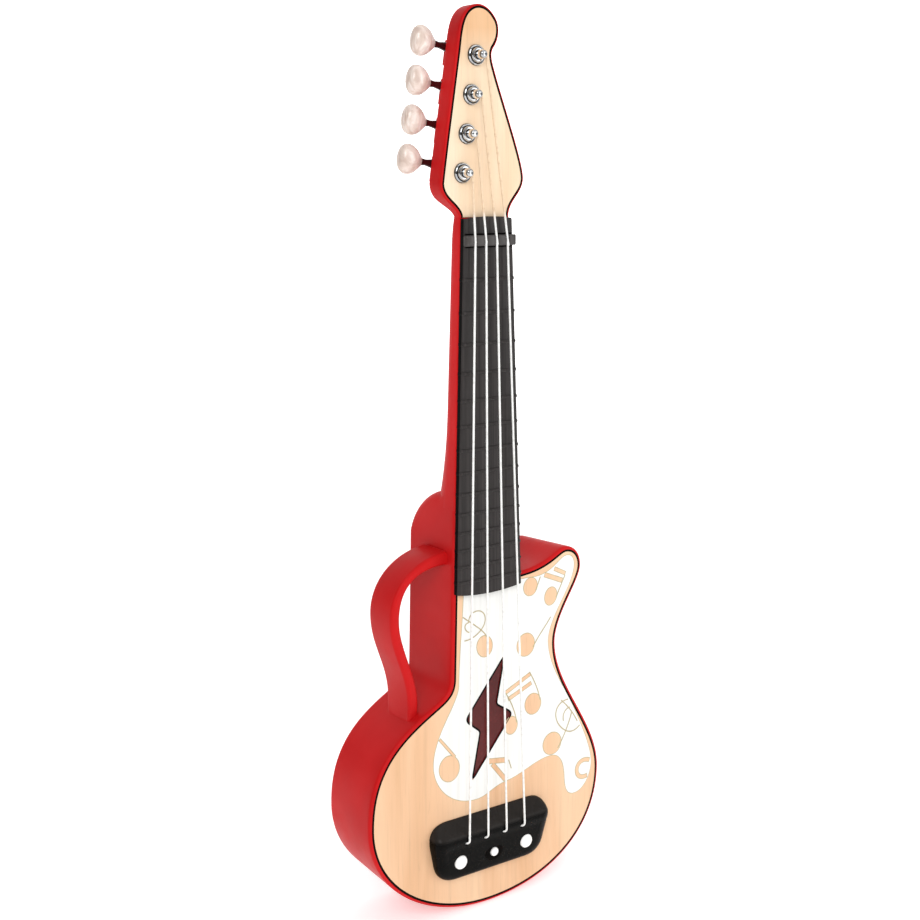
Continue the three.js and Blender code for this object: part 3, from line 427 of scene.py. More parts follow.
class Path:
    """An open or closed line in (x, z), made of straight and cubic stretches."""

    def __init__(self, x, z):
        self.points = [(x, z)]

    def line(self, x, z, steps=1):
        x0, z0 = self.points[-1]
        for i in range(1, steps + 1):
            t = i / steps
            self.points.append((x0 + (x - x0) * t, z0 + (z - z0) * t))
        return self

    def curve(self, ax, az, bx, bz, x, z, steps=20):
        x0, z0 = self.points[-1]
        for i in range(1, steps + 1):
            t = i / steps
            a, b, c, d = (1 - t) ** 3, 3 * t * (1 - t) ** 2, 3 * t * t * (1 - t), t**3
            self.points.append((a * x0 + b * ax + c * bx + d * x, a * z0 + b * az + c * bz + d * z))
        return self

    def closed(self):
        """The points anticlockwise, the last not repeating the first."""
        points = self.points
        if math.dist(points[0], points[-1]) < 1e-6:
            points = points[:-1]
        return points if area(points) > 0 else points[::-1]


def area(points):
    return sum(a[0] * b[1] - b[0] * a[1] for a, b in zip(points, points[1:] + points[:1])) / 2


def grown(points, distance):
    """A closed anticlockwise outline moved outwards."""
    result = []
    count = len(points)
    for i, (x, z) in enumerate(points):
        before, after = points[i - 1], points[(i + 1) % count]
        ax, az = x - before[0], z - before[1]
        bx, bz = after[0] - x, after[1] - z
        la, lb = math.hypot(ax, az), math.hypot(bx, bz)
        nx, nz = az / la + bz / lb, -ax / la - bx / lb
        length = math.hypot(nx, nz)
        nx, nz = nx / length, nz / length
        spread = max(nx * bz / lb - nz * bx / lb, 0.5)
        result.append((x + nx * distance / spread, z + nz * distance / spread))
    return result


def rounded(corners, steps=8):
    """A closed outline through (x, z, tangent length) corners."""
    points = []
    count = len(corners)
    for i, (x, z, reach) in enumerate(corners):
        ends = []
        for other in (corners[i - 1], corners[(i + 1) % count]):
            share = reach / math.dist((x, z), other[:2])
            ends.append((x + (other[0] - x) * share, z + (other[1] - z) * share))
        for k in range(steps + 1):
            t = k / steps
            a, b, c = (1 - t) ** 2, 2 * t * (1 - t), t * t
            points.append(tuple(a * ends[0][n] + b * (x, z)[n] + c * ends[1][n] for n in (0, 1)))
    return points if area(points) > 0 else points[::-1]


def circle(x, z, radius, count=24):
    turn = 2 * math.pi / count
    return [(x + radius * math.cos(i * turn), z + radius * math.sin(i * turn)) for i in range(count)]


def quarter(steps, first=0):
    """Angles from 0 to a right angle."""
    return [math.pi / 2 * i / steps for i in range(first, steps + 1)]


def at_depth(outline, y):
    """An outline in X and Z as a loop at one depth."""
    return [(x, y, z) for x, z in outline]


def spot(node):
    """The middle of a CAD node's box in X and Z."""
    low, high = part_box(node)
    middle = (low + high) / 2 / MM
    return middle.x, middle.z


def ease(t):
    """A smooth step from 0 to 1."""
    t = min(max(t, 0), 1)
    return t * t * (3 - 2 * t)


# Driving dimensions of the guitar
NUT_Z = -16
SCALE_LENGTH = 346
SADDLE_Z = NUT_Z - SCALE_LENGTH
NECK_JOINT_Z = -156
NECK_TOP_Z = -1.6
NECK_FLARE_Z = -110
BODY_DEPTH = 47.5
BODY_TAPER = 0.02
BODY_MIDDLE = (2, -300)
RIM = 2.2
CUTAWAY_Z = -211.3
CORNER_Z = -265
HEEL_START_Z = -215
HEEL_INSET = 1.7
HEEL_DOME_DEPTH = 13
HEEL_FOOT_Z = -186
HEAD_RIM = 1.4
HEAD_DEPTH = 12
HANDLE_FRONT = 7
HANDLE_BACK = 31
HANDLE_EDGE = 2.1
DOOR_DEPTH = 2.8
NUT_PITCH = 7.4
SADDLE_PITCH = 13.6
STRING_RADIUS = 0.62
STRING_Y = -6.5
STRING_FALL = 3.85
BRIDGE_TOP_Z = -352.3
BRIDGE_FOOT_Z = -389.2
BRIDGE_FRONT = -9.4
BUTTON_Z = -377.2
BUTTON_X = 24.3
PEG_Y = 15.5
PEG_OFFSET = 3.6
PEG_LEAN = math.radians(9)
WINDOW_SPREAD = 1.03
BOARD_FRONT = -3.6
CIRCLE_HANDLE = 0.5523
BOLT = [
    (13.2, -258, 4),
    (-15.9, -293.2, 4),
    (-5, -302, 2),
    (-11.2, -331.8, 4),
    (19.2, -295.6, 4),
    (7, -287.6, 2),
]


def board_half(z):
    return 16.9 + 0.0312 * (NUT_Z - z)


def heel_half(z):
    return board_half(z) - HEEL_INSET


def draw_body(path):
    """Left wall, shoulder, round bout, waist, horn and cutaway."""
    left, right, mid, level, low = -80.8, 85.2, 2.2, -346, -410.7
    half, drop = (right - left) / 2, level - low
    wall = -heel_half(CORNER_Z)
    path.line(wall, CORNER_Z, 12)
    path.curve(wall, CORNER_Z - 9, -27, -277.2, -34, -281, 14)
    path.curve(-55, -292.5, left, level + 41, left, level, 34)
    path.curve(left, level - drop * CIRCLE_HANDLE, mid - half * CIRCLE_HANDLE, low, mid, low, 34)
    path.curve(mid + half * 0.6, low, right, level - drop * 0.6, right, level, 34)
    path.curve(right, level + 28, 50.2, -287, 50.2, -258, 30)
    path.curve(50.2, -240, 69.9, -222, 69.9, -212, 24)
    path.curve(69.9, -205.5, 65.5, -201.3, 60, -201.3, 14)
    path.curve(54, -201.3, 47, CUTAWAY_Z, heel_half(CUTAWAY_Z), CUTAWAY_Z, 24)
    return path


def face_outline():
    return draw_body(Path(-heel_half(CUTAWAY_Z), CUTAWAY_Z)).closed()


def head_outline():
    foot = board_half(NECK_TOP_Z) - 1
    path = Path(foot, NECK_TOP_Z)
    path.curve(foot, 8, 26.5, 12, 26.2, 20, 16)
    path.curve(26, 30, 9, 68, 5, 82, 24)
    path.curve(4, 86, 4.4, 88, 5.6, 90, 8)
    path.curve(10, 95, 10.5, 102, 6.5, 106, 14)
    path.curve(2, 112, -6, 113, -11, 107, 16)
    path.curve(-15, 102, -15.5, 94, -16.6, 87, 14)
    path.curve(-19, 72, -25.5, 35, -28, 17, 24)
    path.curve(-27.8, 8, -foot - 1, 6, -foot, NECK_TOP_Z, 16)
    return path.closed()


# ---- Meshes ----


class Form:
    """A mesh being put together from loops of points in millimetres."""

    def __init__(self):
        self.verts = []
        self.faces = []
        self.slots = []

    def ring(self, points):
        first = len(self.verts)
        self.verts.extend(points)
        return list(range(first, len(self.verts)))

    def face(self, corners, slot=0):
        self.faces.append(corners)
        self.slots.append(slot)

    def skin(self, first, second, slot=0, closed=True):
        """Quads from one loop to the next of the same length."""
        count = len(first)
        for i in range(count if closed else count - 1):
            j = (i + 1) % count
            self.face((first[i], second[i], second[j], first[j]), slot)

    def sleeve(self, loops, slot=0, closed=True):
        """Skins a row of loops; the slot may be a list with one entry for each skin."""
        rings = [self.ring(loop) for loop in loops]
        for i, (first, second) in enumerate(zip(rings, rings[1:])):
            self.skin(first, second, slot[i] if isinstance(slot, list) else slot, closed)
        return rings

    def plate(self, outlines, y, facing, slot=0):
        """A flat face in X and Z with holes: facing -1 looks to the front, 1 to the back."""
        flat = [point for outline in outlines for point in outline]
        indices = self.ring([(x, y, z) for x, z in flat])
        for a, b, c in tessellate_polygon([[Vector((x, z, 0)) for x, z in outline] for outline in outlines]):
            turn = area([flat[a], flat[b], flat[c]])
            if abs(turn) < 1e-9:
                continue
            if (turn > 0) != (facing < 0):
                b, c = c, b
            self.face((indices[a], indices[b], indices[c]), slot)

    def cap(self, ring, flip=False):
        """Closes a loop with a fan round its middle."""
        middle = [sum(self.verts[i][k] for i in ring) / len(ring) for k in range(3)]
        centre = self.ring([middle])[0]
        for i, index in enumerate(ring):
            after = ring[(i + 1) % len(ring)]
            self.face((centre, after, index) if flip else (centre, index, after))

    def rod(self, loops, flip_first=True):
        """A sleeve closed at both ends."""
        rings = self.sleeve(loops)
        self.cap(rings[0], flip_first)
        self.cap(rings[-1], not flip_first)

    def mesh(self, name):
        made = bpy.data.meshes.new(name)
        made.from_pydata([Vector(vert) * MM for vert in self.verts], [], self.faces)
        return made


def smoothed(mesh, sharp=None):
    """Shades a mesh smooth, apart from edges sharper than an angle in degrees."""
    mesh.polygons.foreach_set("use_smooth", [True] * len(mesh.polygons))
    if sharp is not None:
        mesh.set_sharp_from_angle(angle=math.radians(sharp))


def repaired(mesh, weld=0):
    """Joins points closer than the weld distance and turns every face outwards."""
    work = bmesh.new()
    work.from_mesh(mesh)
    if weld:
        bmesh.ops.remove_doubles(work, verts=work.verts[:], dist=weld)
    bmesh.ops.recalc_face_normals(work, faces=work.faces[:])
    work.to_mesh(mesh)
    work.free()
    return mesh


def piece(name, form, looks, body, replaces=(), sharp=32, move=None):
    """Makes the object and hands it to the frame."""
    mesh = form.mesh(name)
    if move is not None:
        mesh.transform(move)
    for look in looks if isinstance(looks, list) else [looks]:
        mesh.materials.append(look)
    mesh.polygons.foreach_set("material_index", form.slots)
    mesh.validate()
    smoothed(mesh, sharp)
    thing = placed(name, mesh)
    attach(thing, body)
    if replaces:
        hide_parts(*replaces)


def lathe(profile, count, x, z):
    """Loops round an axis along Y from (radius, y) pairs."""
    return [at_depth(circle(x, z, radius, count), y) for radius, y in profile]


def tube(points, radius, count=12):
    """Loops of a round tube along points given in 3-D."""
    loops = []
    up = Vector((0, 1, 0))
    for i, point in enumerate(points):
        before, after = points[max(i - 1, 0)], points[min(i + 1, len(points) - 1)]
        direction = (Vector(after) - Vector(before)).normalized()
        side = direction.cross(up)
        if side.length < 1e-3:
            side = direction.cross(Vector((1, 0, 0)))
        side.normalize()
        other = side.cross(direction).normalized()
        loop = []
        for k in range(count):
            angle = 2 * math.pi * k / count
            loop.append(tuple(Vector(point) + radius * (math.cos(angle) * side + math.sin(angle) * other)))
        loops.append(loop)
    return loops


def smooth_line(points, steps):
    """A Catmull-Rom curve through 3-D points."""
    result = []
    last = len(points) - 1
    for i in range(last):
        p0, p1, p2, p3 = [Vector(points[min(max(k, 0), last)]) for k in range(i - 1, i + 3)]
        for k in range(steps):
            t = k / steps
            square = (2 * p0 - 5 * p1 + 4 * p2 - p3) * t**2
            cube = (3 * p1 - p0 - 3 * p2 + p3) * t**3
            result.append(0.5 * (2 * p1 + (p2 - p0) * t + square + cube))
    result.append(Vector(points[-1]))
    return [tuple(p) for p in result]


# ---- Red shell: body tub, neck, headstock tray and handle as one skin ----


def rim_profile(rim, depth, straight, steps):
    """(depth, growth) pairs of a wall that is rounded off at the front and at the back."""
    front = [(rim * (1 - math.cos(a)), rim * math.sin(a)) for a in quarter(steps)]
    back = [(depth - rim * (1 - math.sin(a)), rim * math.cos(a)) for a in quarter(steps)]
    return front + [(y, rim) for y in straight] + back


def heel_top(y):
    """The height of the domed heel at a depth."""
    if y <= HEEL_DOME_DEPTH:
        return NECK_JOINT_Z
    share = (y - HEEL_DOME_DEPTH) / (BODY_DEPTH - HEEL_DOME_DEPTH)
    return HEEL_FOOT_Z + (NECK_JOINT_Z - HEEL_FOOT_Z) * math.sqrt(max(1 - share**2, 0))


def tub_loop(y, grow):
    """The shell's outline at a depth, ending in the heel block between its two side walls."""
    body = grown(draw_body(Path(-heel_half(HEEL_START_Z), HEEL_START_Z)).points, grow)[1:-1]
    start, top = CUTAWAY_Z + grow, heel_top(y)
    half = heel_half(top) + grow
    corner = 0.4 + 5.5 * ease((y - 8) / 9)
    bend = top - corner
    turns = quarter(8, 1)[:-1]
    shares = [i / 12 for i in range(13)]
    heel = [(heel_half(z) + grow, z) for z in [start + (bend - start) * t for t in shares]]
    heel += [(half - corner * (1 - math.cos(a)), top - corner * (1 - math.sin(a))) for a in turns]
    heel += [((half - corner) * (1 - 2 * t), top) for t in shares]
    heel += [(corner * (1 - math.sin(a)) - half, top - corner * (1 - math.cos(a))) for a in turns]
    heel += [(-heel_half(z) - grow, z) for z in [bend + (HEEL_START_Z - 1 - bend) * t for t in shares]]
    shrink = 1 - BODY_TAPER * y / BODY_DEPTH
    mx, mz = BODY_MIDDLE
    return [(mx + (x - mx) * shrink, min(mz + (z - mz) * shrink, NECK_JOINT_Z)) for x, z in heel + body]


def tub(form):
    depths = [5, 9, 11, 13, 13.8, 15, 16.5, 18.5, 21, 24, 27, 30, 33, 36, 39, 41.5, 43.5]
    profile = rim_profile(RIM, BODY_DEPTH, depths, 6)
    form.sleeve([at_depth(tub_loop(y, grow), y) for y, grow in profile])
    form.plate([tub_loop(0, 0)], 0.35, -1)
    back_wall(form, tub_loop(BODY_DEPTH, 0))


def hole_wall(form, outline, depth, chamfer=0.3):
    """The chamfered wall of a hole in the back, its outline anticlockwise."""
    mouth = grown(outline, chamfer)
    loops = [at_depth(mouth, BODY_DEPTH), at_depth(outline, BODY_DEPTH - chamfer)]
    loops.append(at_depth(outline, BODY_DEPTH - depth))
    form.sleeve([loop[::-1] for loop in loops])
    return mouth


def door_outline(grow):
    """The battery door with its tongue at the top."""
    half, low, high, tongue, top = 23.6 + grow, -389.4 - grow, -330.6 + grow, 7 + grow, -320 + grow
    right = [(half, low, 2), (half, high, 2), (tongue, high, 1), (tongue, top, 2)]
    return rounded(right + [(-x, z, reach) for x, z, reach in right[::-1]], 5)


def sound_spots():
    """A hole in the middle of the speaker and two rings of holes round it."""
    x, z = spot("speaker_cone")
    return [(x, z)] + circle(x, z, 5.5, 6) + circle(x, z, 10.5, 10)


def back_wall(form, outline):
    screws = [spot(f"shell_screw_{i}") for i in range(1, 7)]
    holes = [hole_wall(form, door_outline(0.3), DOOR_DEPTH)]
    holes += [hole_wall(form, circle(x, z, 3.5), 5.5) for x, z in screws]
    holes += [hole_wall(form, circle(x, z, 1.4, 16), DOOR_DEPTH, 0.2) for x, z in sound_spots()]
    form.plate([outline] + [hole[::-1] for hole in holes], BODY_DEPTH, 1)


def neck_depth(z):
    """The neck gets deeper downwards, flares into the body and thins out under the headstock."""
    down = (NECK_TOP_Z - z) / (NECK_TOP_Z - NECK_JOINT_Z)
    flare = max(0, (NECK_FLARE_Z - z) / (NECK_FLARE_Z - NECK_JOINT_Z))
    thin = max(0, (z - NUT_Z) / (NECK_TOP_Z + 6 - NUT_Z))
    return 15.5 + 5 * down + 7 * flare**2 - 5 * thin**2


def neck(form):
    """A D-shaped section, one wide and one deep, carried up the neck."""
    section = Path(-0.97, 0).line(0.97, 0, 2).curve(0.99, 0, 1, 0.01, 1, 0.05, 3)
    section.line(1, 0.3, 3).curve(1, 0.7, CIRCLE_HANDLE, 1, 0, 1, 16)
    section.curve(-CIRCLE_HANDLE, 1, -1, 0.7, -1, 0.3, 16).line(-1, 0.05, 3)
    section.curve(-1, 0.01, -0.99, 0, -0.97, 0, 3)
    loops = []
    for z in [-166 + 3 * i for i in range(54)] + [-5, -3, -2.4, -1.8, 1, 4.4]:
        half = board_half(z) + 0.5
        sunk = 0.6 * ease((z + 3) / 1.2)
        loops.append([(x * half, max(y * neck_depth(z), sunk), z) for x, y in section.points[:-1]])
    form.rod(loops, flip_first=False)


def head_tray(form):
    """The tray that holds the headstock's face, thinner at its foot."""
    outline = head_outline()

    def thinned(points, y):
        shares = [1 - 0.52 * (1 - ease((z - NECK_TOP_Z) / 12)) for x, z in points]
        return [(x, y * share, z) for (x, z), share in zip(points, shares)]

    profile = rim_profile(HEAD_RIM, HEAD_DEPTH, [4, 8], 5)
    form.sleeve([thinned(grown(outline, grow), y) for y, grow in profile])
    form.plate([outline], 0.35, -1)
    first = len(form.verts)
    form.plate([outline], HEAD_DEPTH, 1)
    form.verts[first:] = thinned(outline, HEAD_DEPTH)


def handle(form):
    """A rounded rectangular section swept between an outer and an inner line."""
    outer = Path(-19, -191).line(-24.5, -191, 4).curve(-44, -193, -61.6, -206, -61.6, -227, 26)
    outer.curve(-61.6, -247, -50.4, -258, -50.4, -279, 26).line(-51, -297, 8)
    inner = Path(-19, -199.5).line(-24.5, -199, 4).curve(-40, -199, -55.3, -205, -55.3, -228, 26)
    inner.curve(-55.3, -243, -43.6, -262, -43.6, -278, 26).line(-44, -297, 8)
    corners = []
    for across, deep, start in ((1, 1, 0), (0, 1, 90), (0, 0, 180), (1, 0, 270)):
        corners += [(across, deep, math.radians(start) + a) for a in quarter(6)]
    straight = HANDLE_BACK - HANDLE_FRONT - 2 * HANDLE_EDGE
    loops = []
    for o, i in zip(outer.points, inner.points):
        outward = Vector((o[0] - i[0], o[1] - i[1]))
        width = outward.length
        outward.normalize()
        loop = []
        for across, deep, a in corners:
            u = HANDLE_EDGE + (width - 2 * HANDLE_EDGE) * across + HANDLE_EDGE * math.cos(a)
            y = HANDLE_FRONT + HANDLE_EDGE + straight * deep + HANDLE_EDGE * math.sin(a)
            loop.append((i[0] + outward.x * u, y, i[1] + outward.y * u))
        loops.append(loop)
    form.rod(loops)


def build_shell():
    form = Form()
    tub(form)
    neck(form)
    head_tray(form)
    handle(form)
    piece("red_shell", form, RED, "guitar", ("body_shell", "neck_shell", "carry_handle"))


# ---- Wooden faces, their dark edges and the printed panel ----


def edge_strip(form, outline, inner, outer, closed=True):
    """A flat dark line round an outline, dropping to the rim at its outer side."""
    steps = ((inner, 0.01), (inner + 0.12, -0.05), (outer - 0.2, -0.05), (outer, 0.2))
    form.sleeve([at_depth(grown(outline, grow), y) for grow, y in steps], closed=closed)


def wooden_face(form, outline, holes):
    """A face with softened edges and the walls of its holes."""
    steps = ((-0.45, 0.02), (-0.3, 0.12), (-0.3, 1.5))
    form.sleeve([at_depth(grown(outline, grow), y) for grow, y in steps])
    for hole in holes:
        form.sleeve([at_depth(hole[::-1], y) for y in (0.0, 3.0)])
    form.plate([grown(outline, -0.45)] + [hole[::-1] for hole in holes], 0.0, -1)


def bolt_outline(spread):
    """The bolt, scaled about its middle."""
    return rounded([(1.5 + (x - 1.5) * spread, -295 + (z + 295) * spread, reach) for x, z, reach in BOLT])


def post_spots():
    return [spot(f"string_post_{i}") for i in range(1, 5)]


def build_faces():
    form = Form()
    wooden_face(form, face_outline(), [bolt_outline(WINDOW_SPREAD)])
    piece("face_veneer", form, WOOD, "guitar", ("body_face",))
    form = Form()
    wooden_face(form, head_outline(), [circle(x, z, 3.9) for x, z in post_spots()])
    piece("head_veneer", form, HEAD_WOOD, "guitar", ("headstock_face",))
    form = Form()
    edge_strip(form, face_outline(), -1.0, 0.45)
    edge_strip(form, head_outline(), -0.95, 0.4, closed=False)
    piece("dark_edging", form, EDGE_BLACK, "guitar")


OUTLINE_WIDTH = 0.35
SIGN_EDGE_WIDTH = 0.42
STEM_WIDTH = 0.7
PRINT_LAYER = 0.002


def panel_outline():
    path = Path(-16, -212.5).line(-17, -229, 4).curve(-18, -240, -20, -262, -20, -271, 10)
    path.curve(-20.5, -276, -24.5, -282.5, -28, -288, 12)
    path.curve(-33, -296, -38.5, -306, -38.5, -316, 16)
    path.curve(-38.5, -330, -26, -344, -8, -344, 20)
    path.curve(0, -344, 4, -339, 14, -338, 12)
    path.curve(26, -337, 36, -330, 48, -330, 14)
    path.curve(55.5, -330, 59, -336, 59.5, -346, 14)
    path.curve(60, -355, 61.5, -359.5, 67.5, -359.5, 10)
    path.curve(75.5, -359.5, 81, -350, 81, -342, 14)
    path.curve(81, -333, 74, -318, 66.5, -303, 14)
    path.curve(61, -291, 46, -272, 46, -256, 16)
    path.curve(46, -241, 66, -224, 66, -211, 20)
    path.curve(66, -207, 64, -204.5, 60.5, -204.5, 10)
    path.curve(54.5, -204.5, 50, -214, 36, -214, 20)
    return path.closed()


def oval(x, z, rx, rz, lean, count=28):
    a = math.radians(lean)
    points = []
    for i in range(count):
        t = 2 * math.pi * i / count
        u, v = rx * math.cos(t), rz * math.sin(t)
        points.append((x + u * math.cos(a) - v * math.sin(a), z + u * math.sin(a) + v * math.cos(a)))
    return points


def strip(points, width):
    """A band along a line of (x, z) points, as a closed outline."""
    left, right = [], []
    for i, (x, z) in enumerate(points):
        before, after = points[max(i - 1, 0)], points[min(i + 1, len(points) - 1)]
        dx, dz = after[0] - before[0], after[1] - before[1]
        length = math.hypot(dx, dz)
        nx, nz = -dz / length * width / 2, dx / length * width / 2
        left.append((x + nx, z + nz))
        right.append((x - nx, z - nz))
    points = left + right[::-1]
    return points if area(points) > 0 else points[::-1]


def note_heads():
    """The ovals at the foot of the notes."""
    return [
        oval(-1.5, -250, 5.5, 6.5, 12),
        oval(29, -255, 6.5, 7, -8),
        oval(32.5, -219.5, 5, 5.5, -12),
        oval(48, -228, 4.5, 5.5, -16),
        oval(34.5, -293.5, 6, 6.5, 8),
        oval(18, -303.5, 4.5, 5.5, 0),
        oval(49.5, -322.5, 7, 7, 0),
        oval(-27.5, -320, 7, 8, 16),
    ]


def note_bars():
    """Straight beams between stems, the broad strokes of the sharp sign, and the open ring."""
    beams = [
        (Path(43.5, -214).line(56.5, -219.5), 2.4),
        (Path(51, -211.5).line(59, -215.5), 1.9),
        (Path(14, -282).line(32.5, -274), 1.9),
        (Path(16, -286.5).line(33, -280), 1.9),
        (Path(1.5, -322.5).line(13.5, -324.5), 2.8),
        (Path(4, -325).line(13.5, -337), 2.4),
        (Path(-34, -300.5).line(-23.5, -313.5), 1.2),
    ]
    ring = (Path(79.5, -340.5).curve(67, -335.5, 66, -353, 77.5, -350.5), 2.2)
    return [strip(path.points, width) for path, width in beams + [ring]]


def line_parts():
    """Stems, curls and tails drawn as a line only."""
    stems = [
        Path(48, -241).curve(44, -246.5, 38.5, -251, 34.5, -257.5),
        Path(36.5, -222.5).line(40, -214.5),
        Path(52, -229.5).line(59, -216.5),
        Path(13, -281).curve(17, -287, 21, -294.5, 22, -302.5),
        Path(32, -273).curve(35.5, -279, 38.5, -285, 40, -292),
        Path(16, -325).line(18, -331),
    ]
    small_clef = [
        Path(-12.5, -239.5).curve(-16.5, -238, -16.5, -233.5, -13, -233.5),
        Path(-13, -233.5).curve(-13, -225.5, -1, -225.5, -1, -233.5).curve(-1, -239, -9, -244.5, -16, -244),
        Path(-17, -229.5).curve(-10, -235, -2, -240, 0, -244.5),
    ]
    large_clef = [
        Path(62, -296.5).curve(50, -296.5, 49, -309, 60, -316.5).curve(64, -319, 68, -318.5, 71.5, -315.5),
        Path(58.5, -310).curve(57.5, -306, 59, -302.5, 63.5, -302),
        Path(65, -305.5).curve(63, -312, 59, -320, 54, -326.5),
        Path(56.5, -296).curve(62, -301, 66, -306, 69.5, -312.5),
    ]
    return [strip(path.points, STEM_WIDTH) for path in stems + small_clef + large_clef]


def build_print():
    """The white panel and its signs, each sign a hair in front of the one before."""
    form = Form()
    outline = panel_outline()
    hole = bolt_outline(WINDOW_SPREAD)[::-1]
    form.plate([grown(outline, OUTLINE_WIDTH), hole], -0.03, -1, 1)
    form.plate([outline, hole], -0.06, -1)
    piece("white_panel", form, [PANEL, NOTE_LINE], "guitar")
    fills, lines = Form(), Form()
    for i, part in enumerate(note_bars() + note_heads()):
        lines.plate([grown(part, SIGN_EDGE_WIDTH)], -0.075 - PRINT_LAYER * i, -1)
        fills.plate([part], -0.125 - PRINT_LAYER * i, -1)
    for i, part in enumerate(line_parts()):
        lines.plate([part], -0.17 - PRINT_LAYER * i, -1)
    piece("note_outlines", lines, NOTE_LINE, "guitar")
    piece("note_fills", fills, WOOD, "guitar")


# ---- Fretboard, nut and strings ----


def fret_heights():
    return [NUT_Z - SCALE_LENGTH * (1 - 2 ** (-n / 12)) for n in range(1, 15)]


def ridge(z):
    """How far the fret ridges stand out at a height."""
    best = 0
    for fret in fret_heights():
        u = abs(z - fret) / 0.95
        if u < 1:
            best = max(best, 0.75 * math.sqrt(1 - u**2.6))
    return best


def build_fretboard():
    top, end = -2.0, -214.8
    lip = {top: 0.45, top - 0.35: 0.1}
    heights = {top, top - 0.35, top - 0.8, top - 1.2}
    heights |= {round(top - 3 * i, 3) for i in range(1, 1 + int((top - end - 1) / 3))}
    for fret in fret_heights():
        for step in (-1.3, -0.95, -0.85, -0.65, -0.35, 0, 0.35, 0.65, 0.85, 0.95, 1.3):
            heights.add(round(fret + step, 3))
    heights = sorted(heights, reverse=True)
    form = Form()
    columns = [-1.0, -0.985, -0.965, -0.9, -0.7, -0.45, -0.2, 0, 0.2, 0.45, 0.7, 0.9, 0.965, 0.985, 1.0]
    rows = []
    for z in heights + [end]:
        last = z == end
        half = board_half(z)
        lift = ridge(z)
        row = []
        for u in columns:
            soft = min(1, (1 - abs(u)) / 0.035)
            drop = 0.55 * (1 - math.sqrt(max(1 - (1 - soft) ** 2, 0)))
            y = BOARD_FRONT - lift * (0.35 + 0.65 * soft) + drop + lip.get(z, 0)
            x = u * (half + 0.2 * min(lift / 0.7, 1))
            arch = (1.1 if z > top - 1 else 0) - (2 if last else 0)
            row.append((x, y, z + arch * (1 - u * u)))
        foot = [(x, -0.25, z) for x, y, z in (row[0], row[-1])]
        rows.append(form.ring([foot[0]] + row + [foot[1]]))
    count = len(rows[0])
    for first, second in zip(rows, rows[1:]):
        for i in range(count - 1):
            form.face((first[i], second[i], second[i + 1], first[i + 1]), 1 if i in (0, count - 2) else 0)
    form.face(tuple(rows[0]), 1)
    form.face(tuple(reversed(rows[-1])), 1)
    piece("fret_board", form, [FRETBOARD, BOARD_SIDE], "guitar", ("fretboard",), 40)


def string_x(index, pitch):
    return (index - 1.5) * pitch


def build_nut():
    low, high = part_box("nut")
    low, high = low / MM, high / MM
    front, back = low.y, high.y
    middle, half_z = (low.z + high.z) / 2, (high.z - low.z) / 2
    slots = [string_x(i, NUT_PITCH) for i in range(4)]
    stations = [(low.x, 0.45), (low.x + 0.3, 0.85), (low.x + 0.9, 1.0)]
    notch = [(-1.25, 1.0), (-1.0, 0.97), (-0.95, 0.55)]
    notch += [(-step, height) for step, height in notch[::-1]]
    for slot in slots:
        stations += [(slot + step, height) for step, height in notch]
    stations += [(high.x - 0.9, 1.0), (high.x - 0.3, 0.85), (high.x, 0.45)]
    loops = []
    for x, height in stations:
        loop = []
        for i in range(20):
            a = 2 * math.pi * i / 20
            u = math.copysign(abs(math.cos(a)) ** 0.45, math.cos(a))
            v = math.copysign(abs(math.sin(a)) ** 0.45, math.sin(a))
            depth = (back - front) / 2
            y = back - depth * (1 + v) * height
            tight = 0.75 + 0.25 * min(height, 1) if x in (low.x, high.x) else 1
            loop.append((x, y, middle + u * half_z * tight))
        loops.append(loop)
    form = Form()
    form.rod(loops)
    piece("nut_bar", form, NUT_BLACK, "guitar", ("nut",), 40)
    # Painted shadow: a flat dark plate on the board round the nut, standing in for the shade above and below
    # it.
    nut_shadow_plate = Form()
    half, reach = board_half(NUT_Z) - 0.9, half_z + 0.9
    lower, upper = middle - reach, middle + reach
    nut_shadow_plate.plate([[(-half, lower), (half, lower), (half, upper), (-half, upper)]], BOARD_FRONT - 0.08, -1)
    piece("nut_painted_shadow", nut_shadow_plate, EDGE_BLACK, "guitar")


def build_strings():
    for i, (px, pz) in enumerate(post_spots()):
        nut_x, end_x = string_x(i, NUT_PITCH), string_x(i, SADDLE_PITCH)
        start = Vector((px + 2.9, -5.3, pz + 0.5))
        nut = Vector((nut_x, STRING_Y, NUT_Z + 2))
        points = [tuple(start), tuple(start.lerp(nut, 0.5)), tuple(nut), (nut_x, STRING_Y, NUT_Z)]
        for step in (30, 110, 200, 300, 340):
            t = step / SCALE_LENGTH
            points.append((nut_x + (end_x - nut_x) * t, STRING_Y - STRING_FALL * t, NUT_Z - step))
        points += [
            (end_x, STRING_Y - STRING_FALL, SADDLE_Z + 0.6),
            (end_x, -10.3, SADDLE_Z - 1.2),
            (end_x - 0.15, -10.0, SADDLE_Z - 2.3),
            (end_x - 0.9, -8.9, SADDLE_Z - 3.2),
            (end_x - 1.3, -6.6, SADDLE_Z - 3.6),
        ]
        form = Form()
        form.rod(tube(smooth_line(points, 8), STRING_RADIUS))
        piece(f"nylon_{i + 1}", form, NYLON, "guitar", (f"string_{i + 1}",), 60)


# ---- Tuners ----


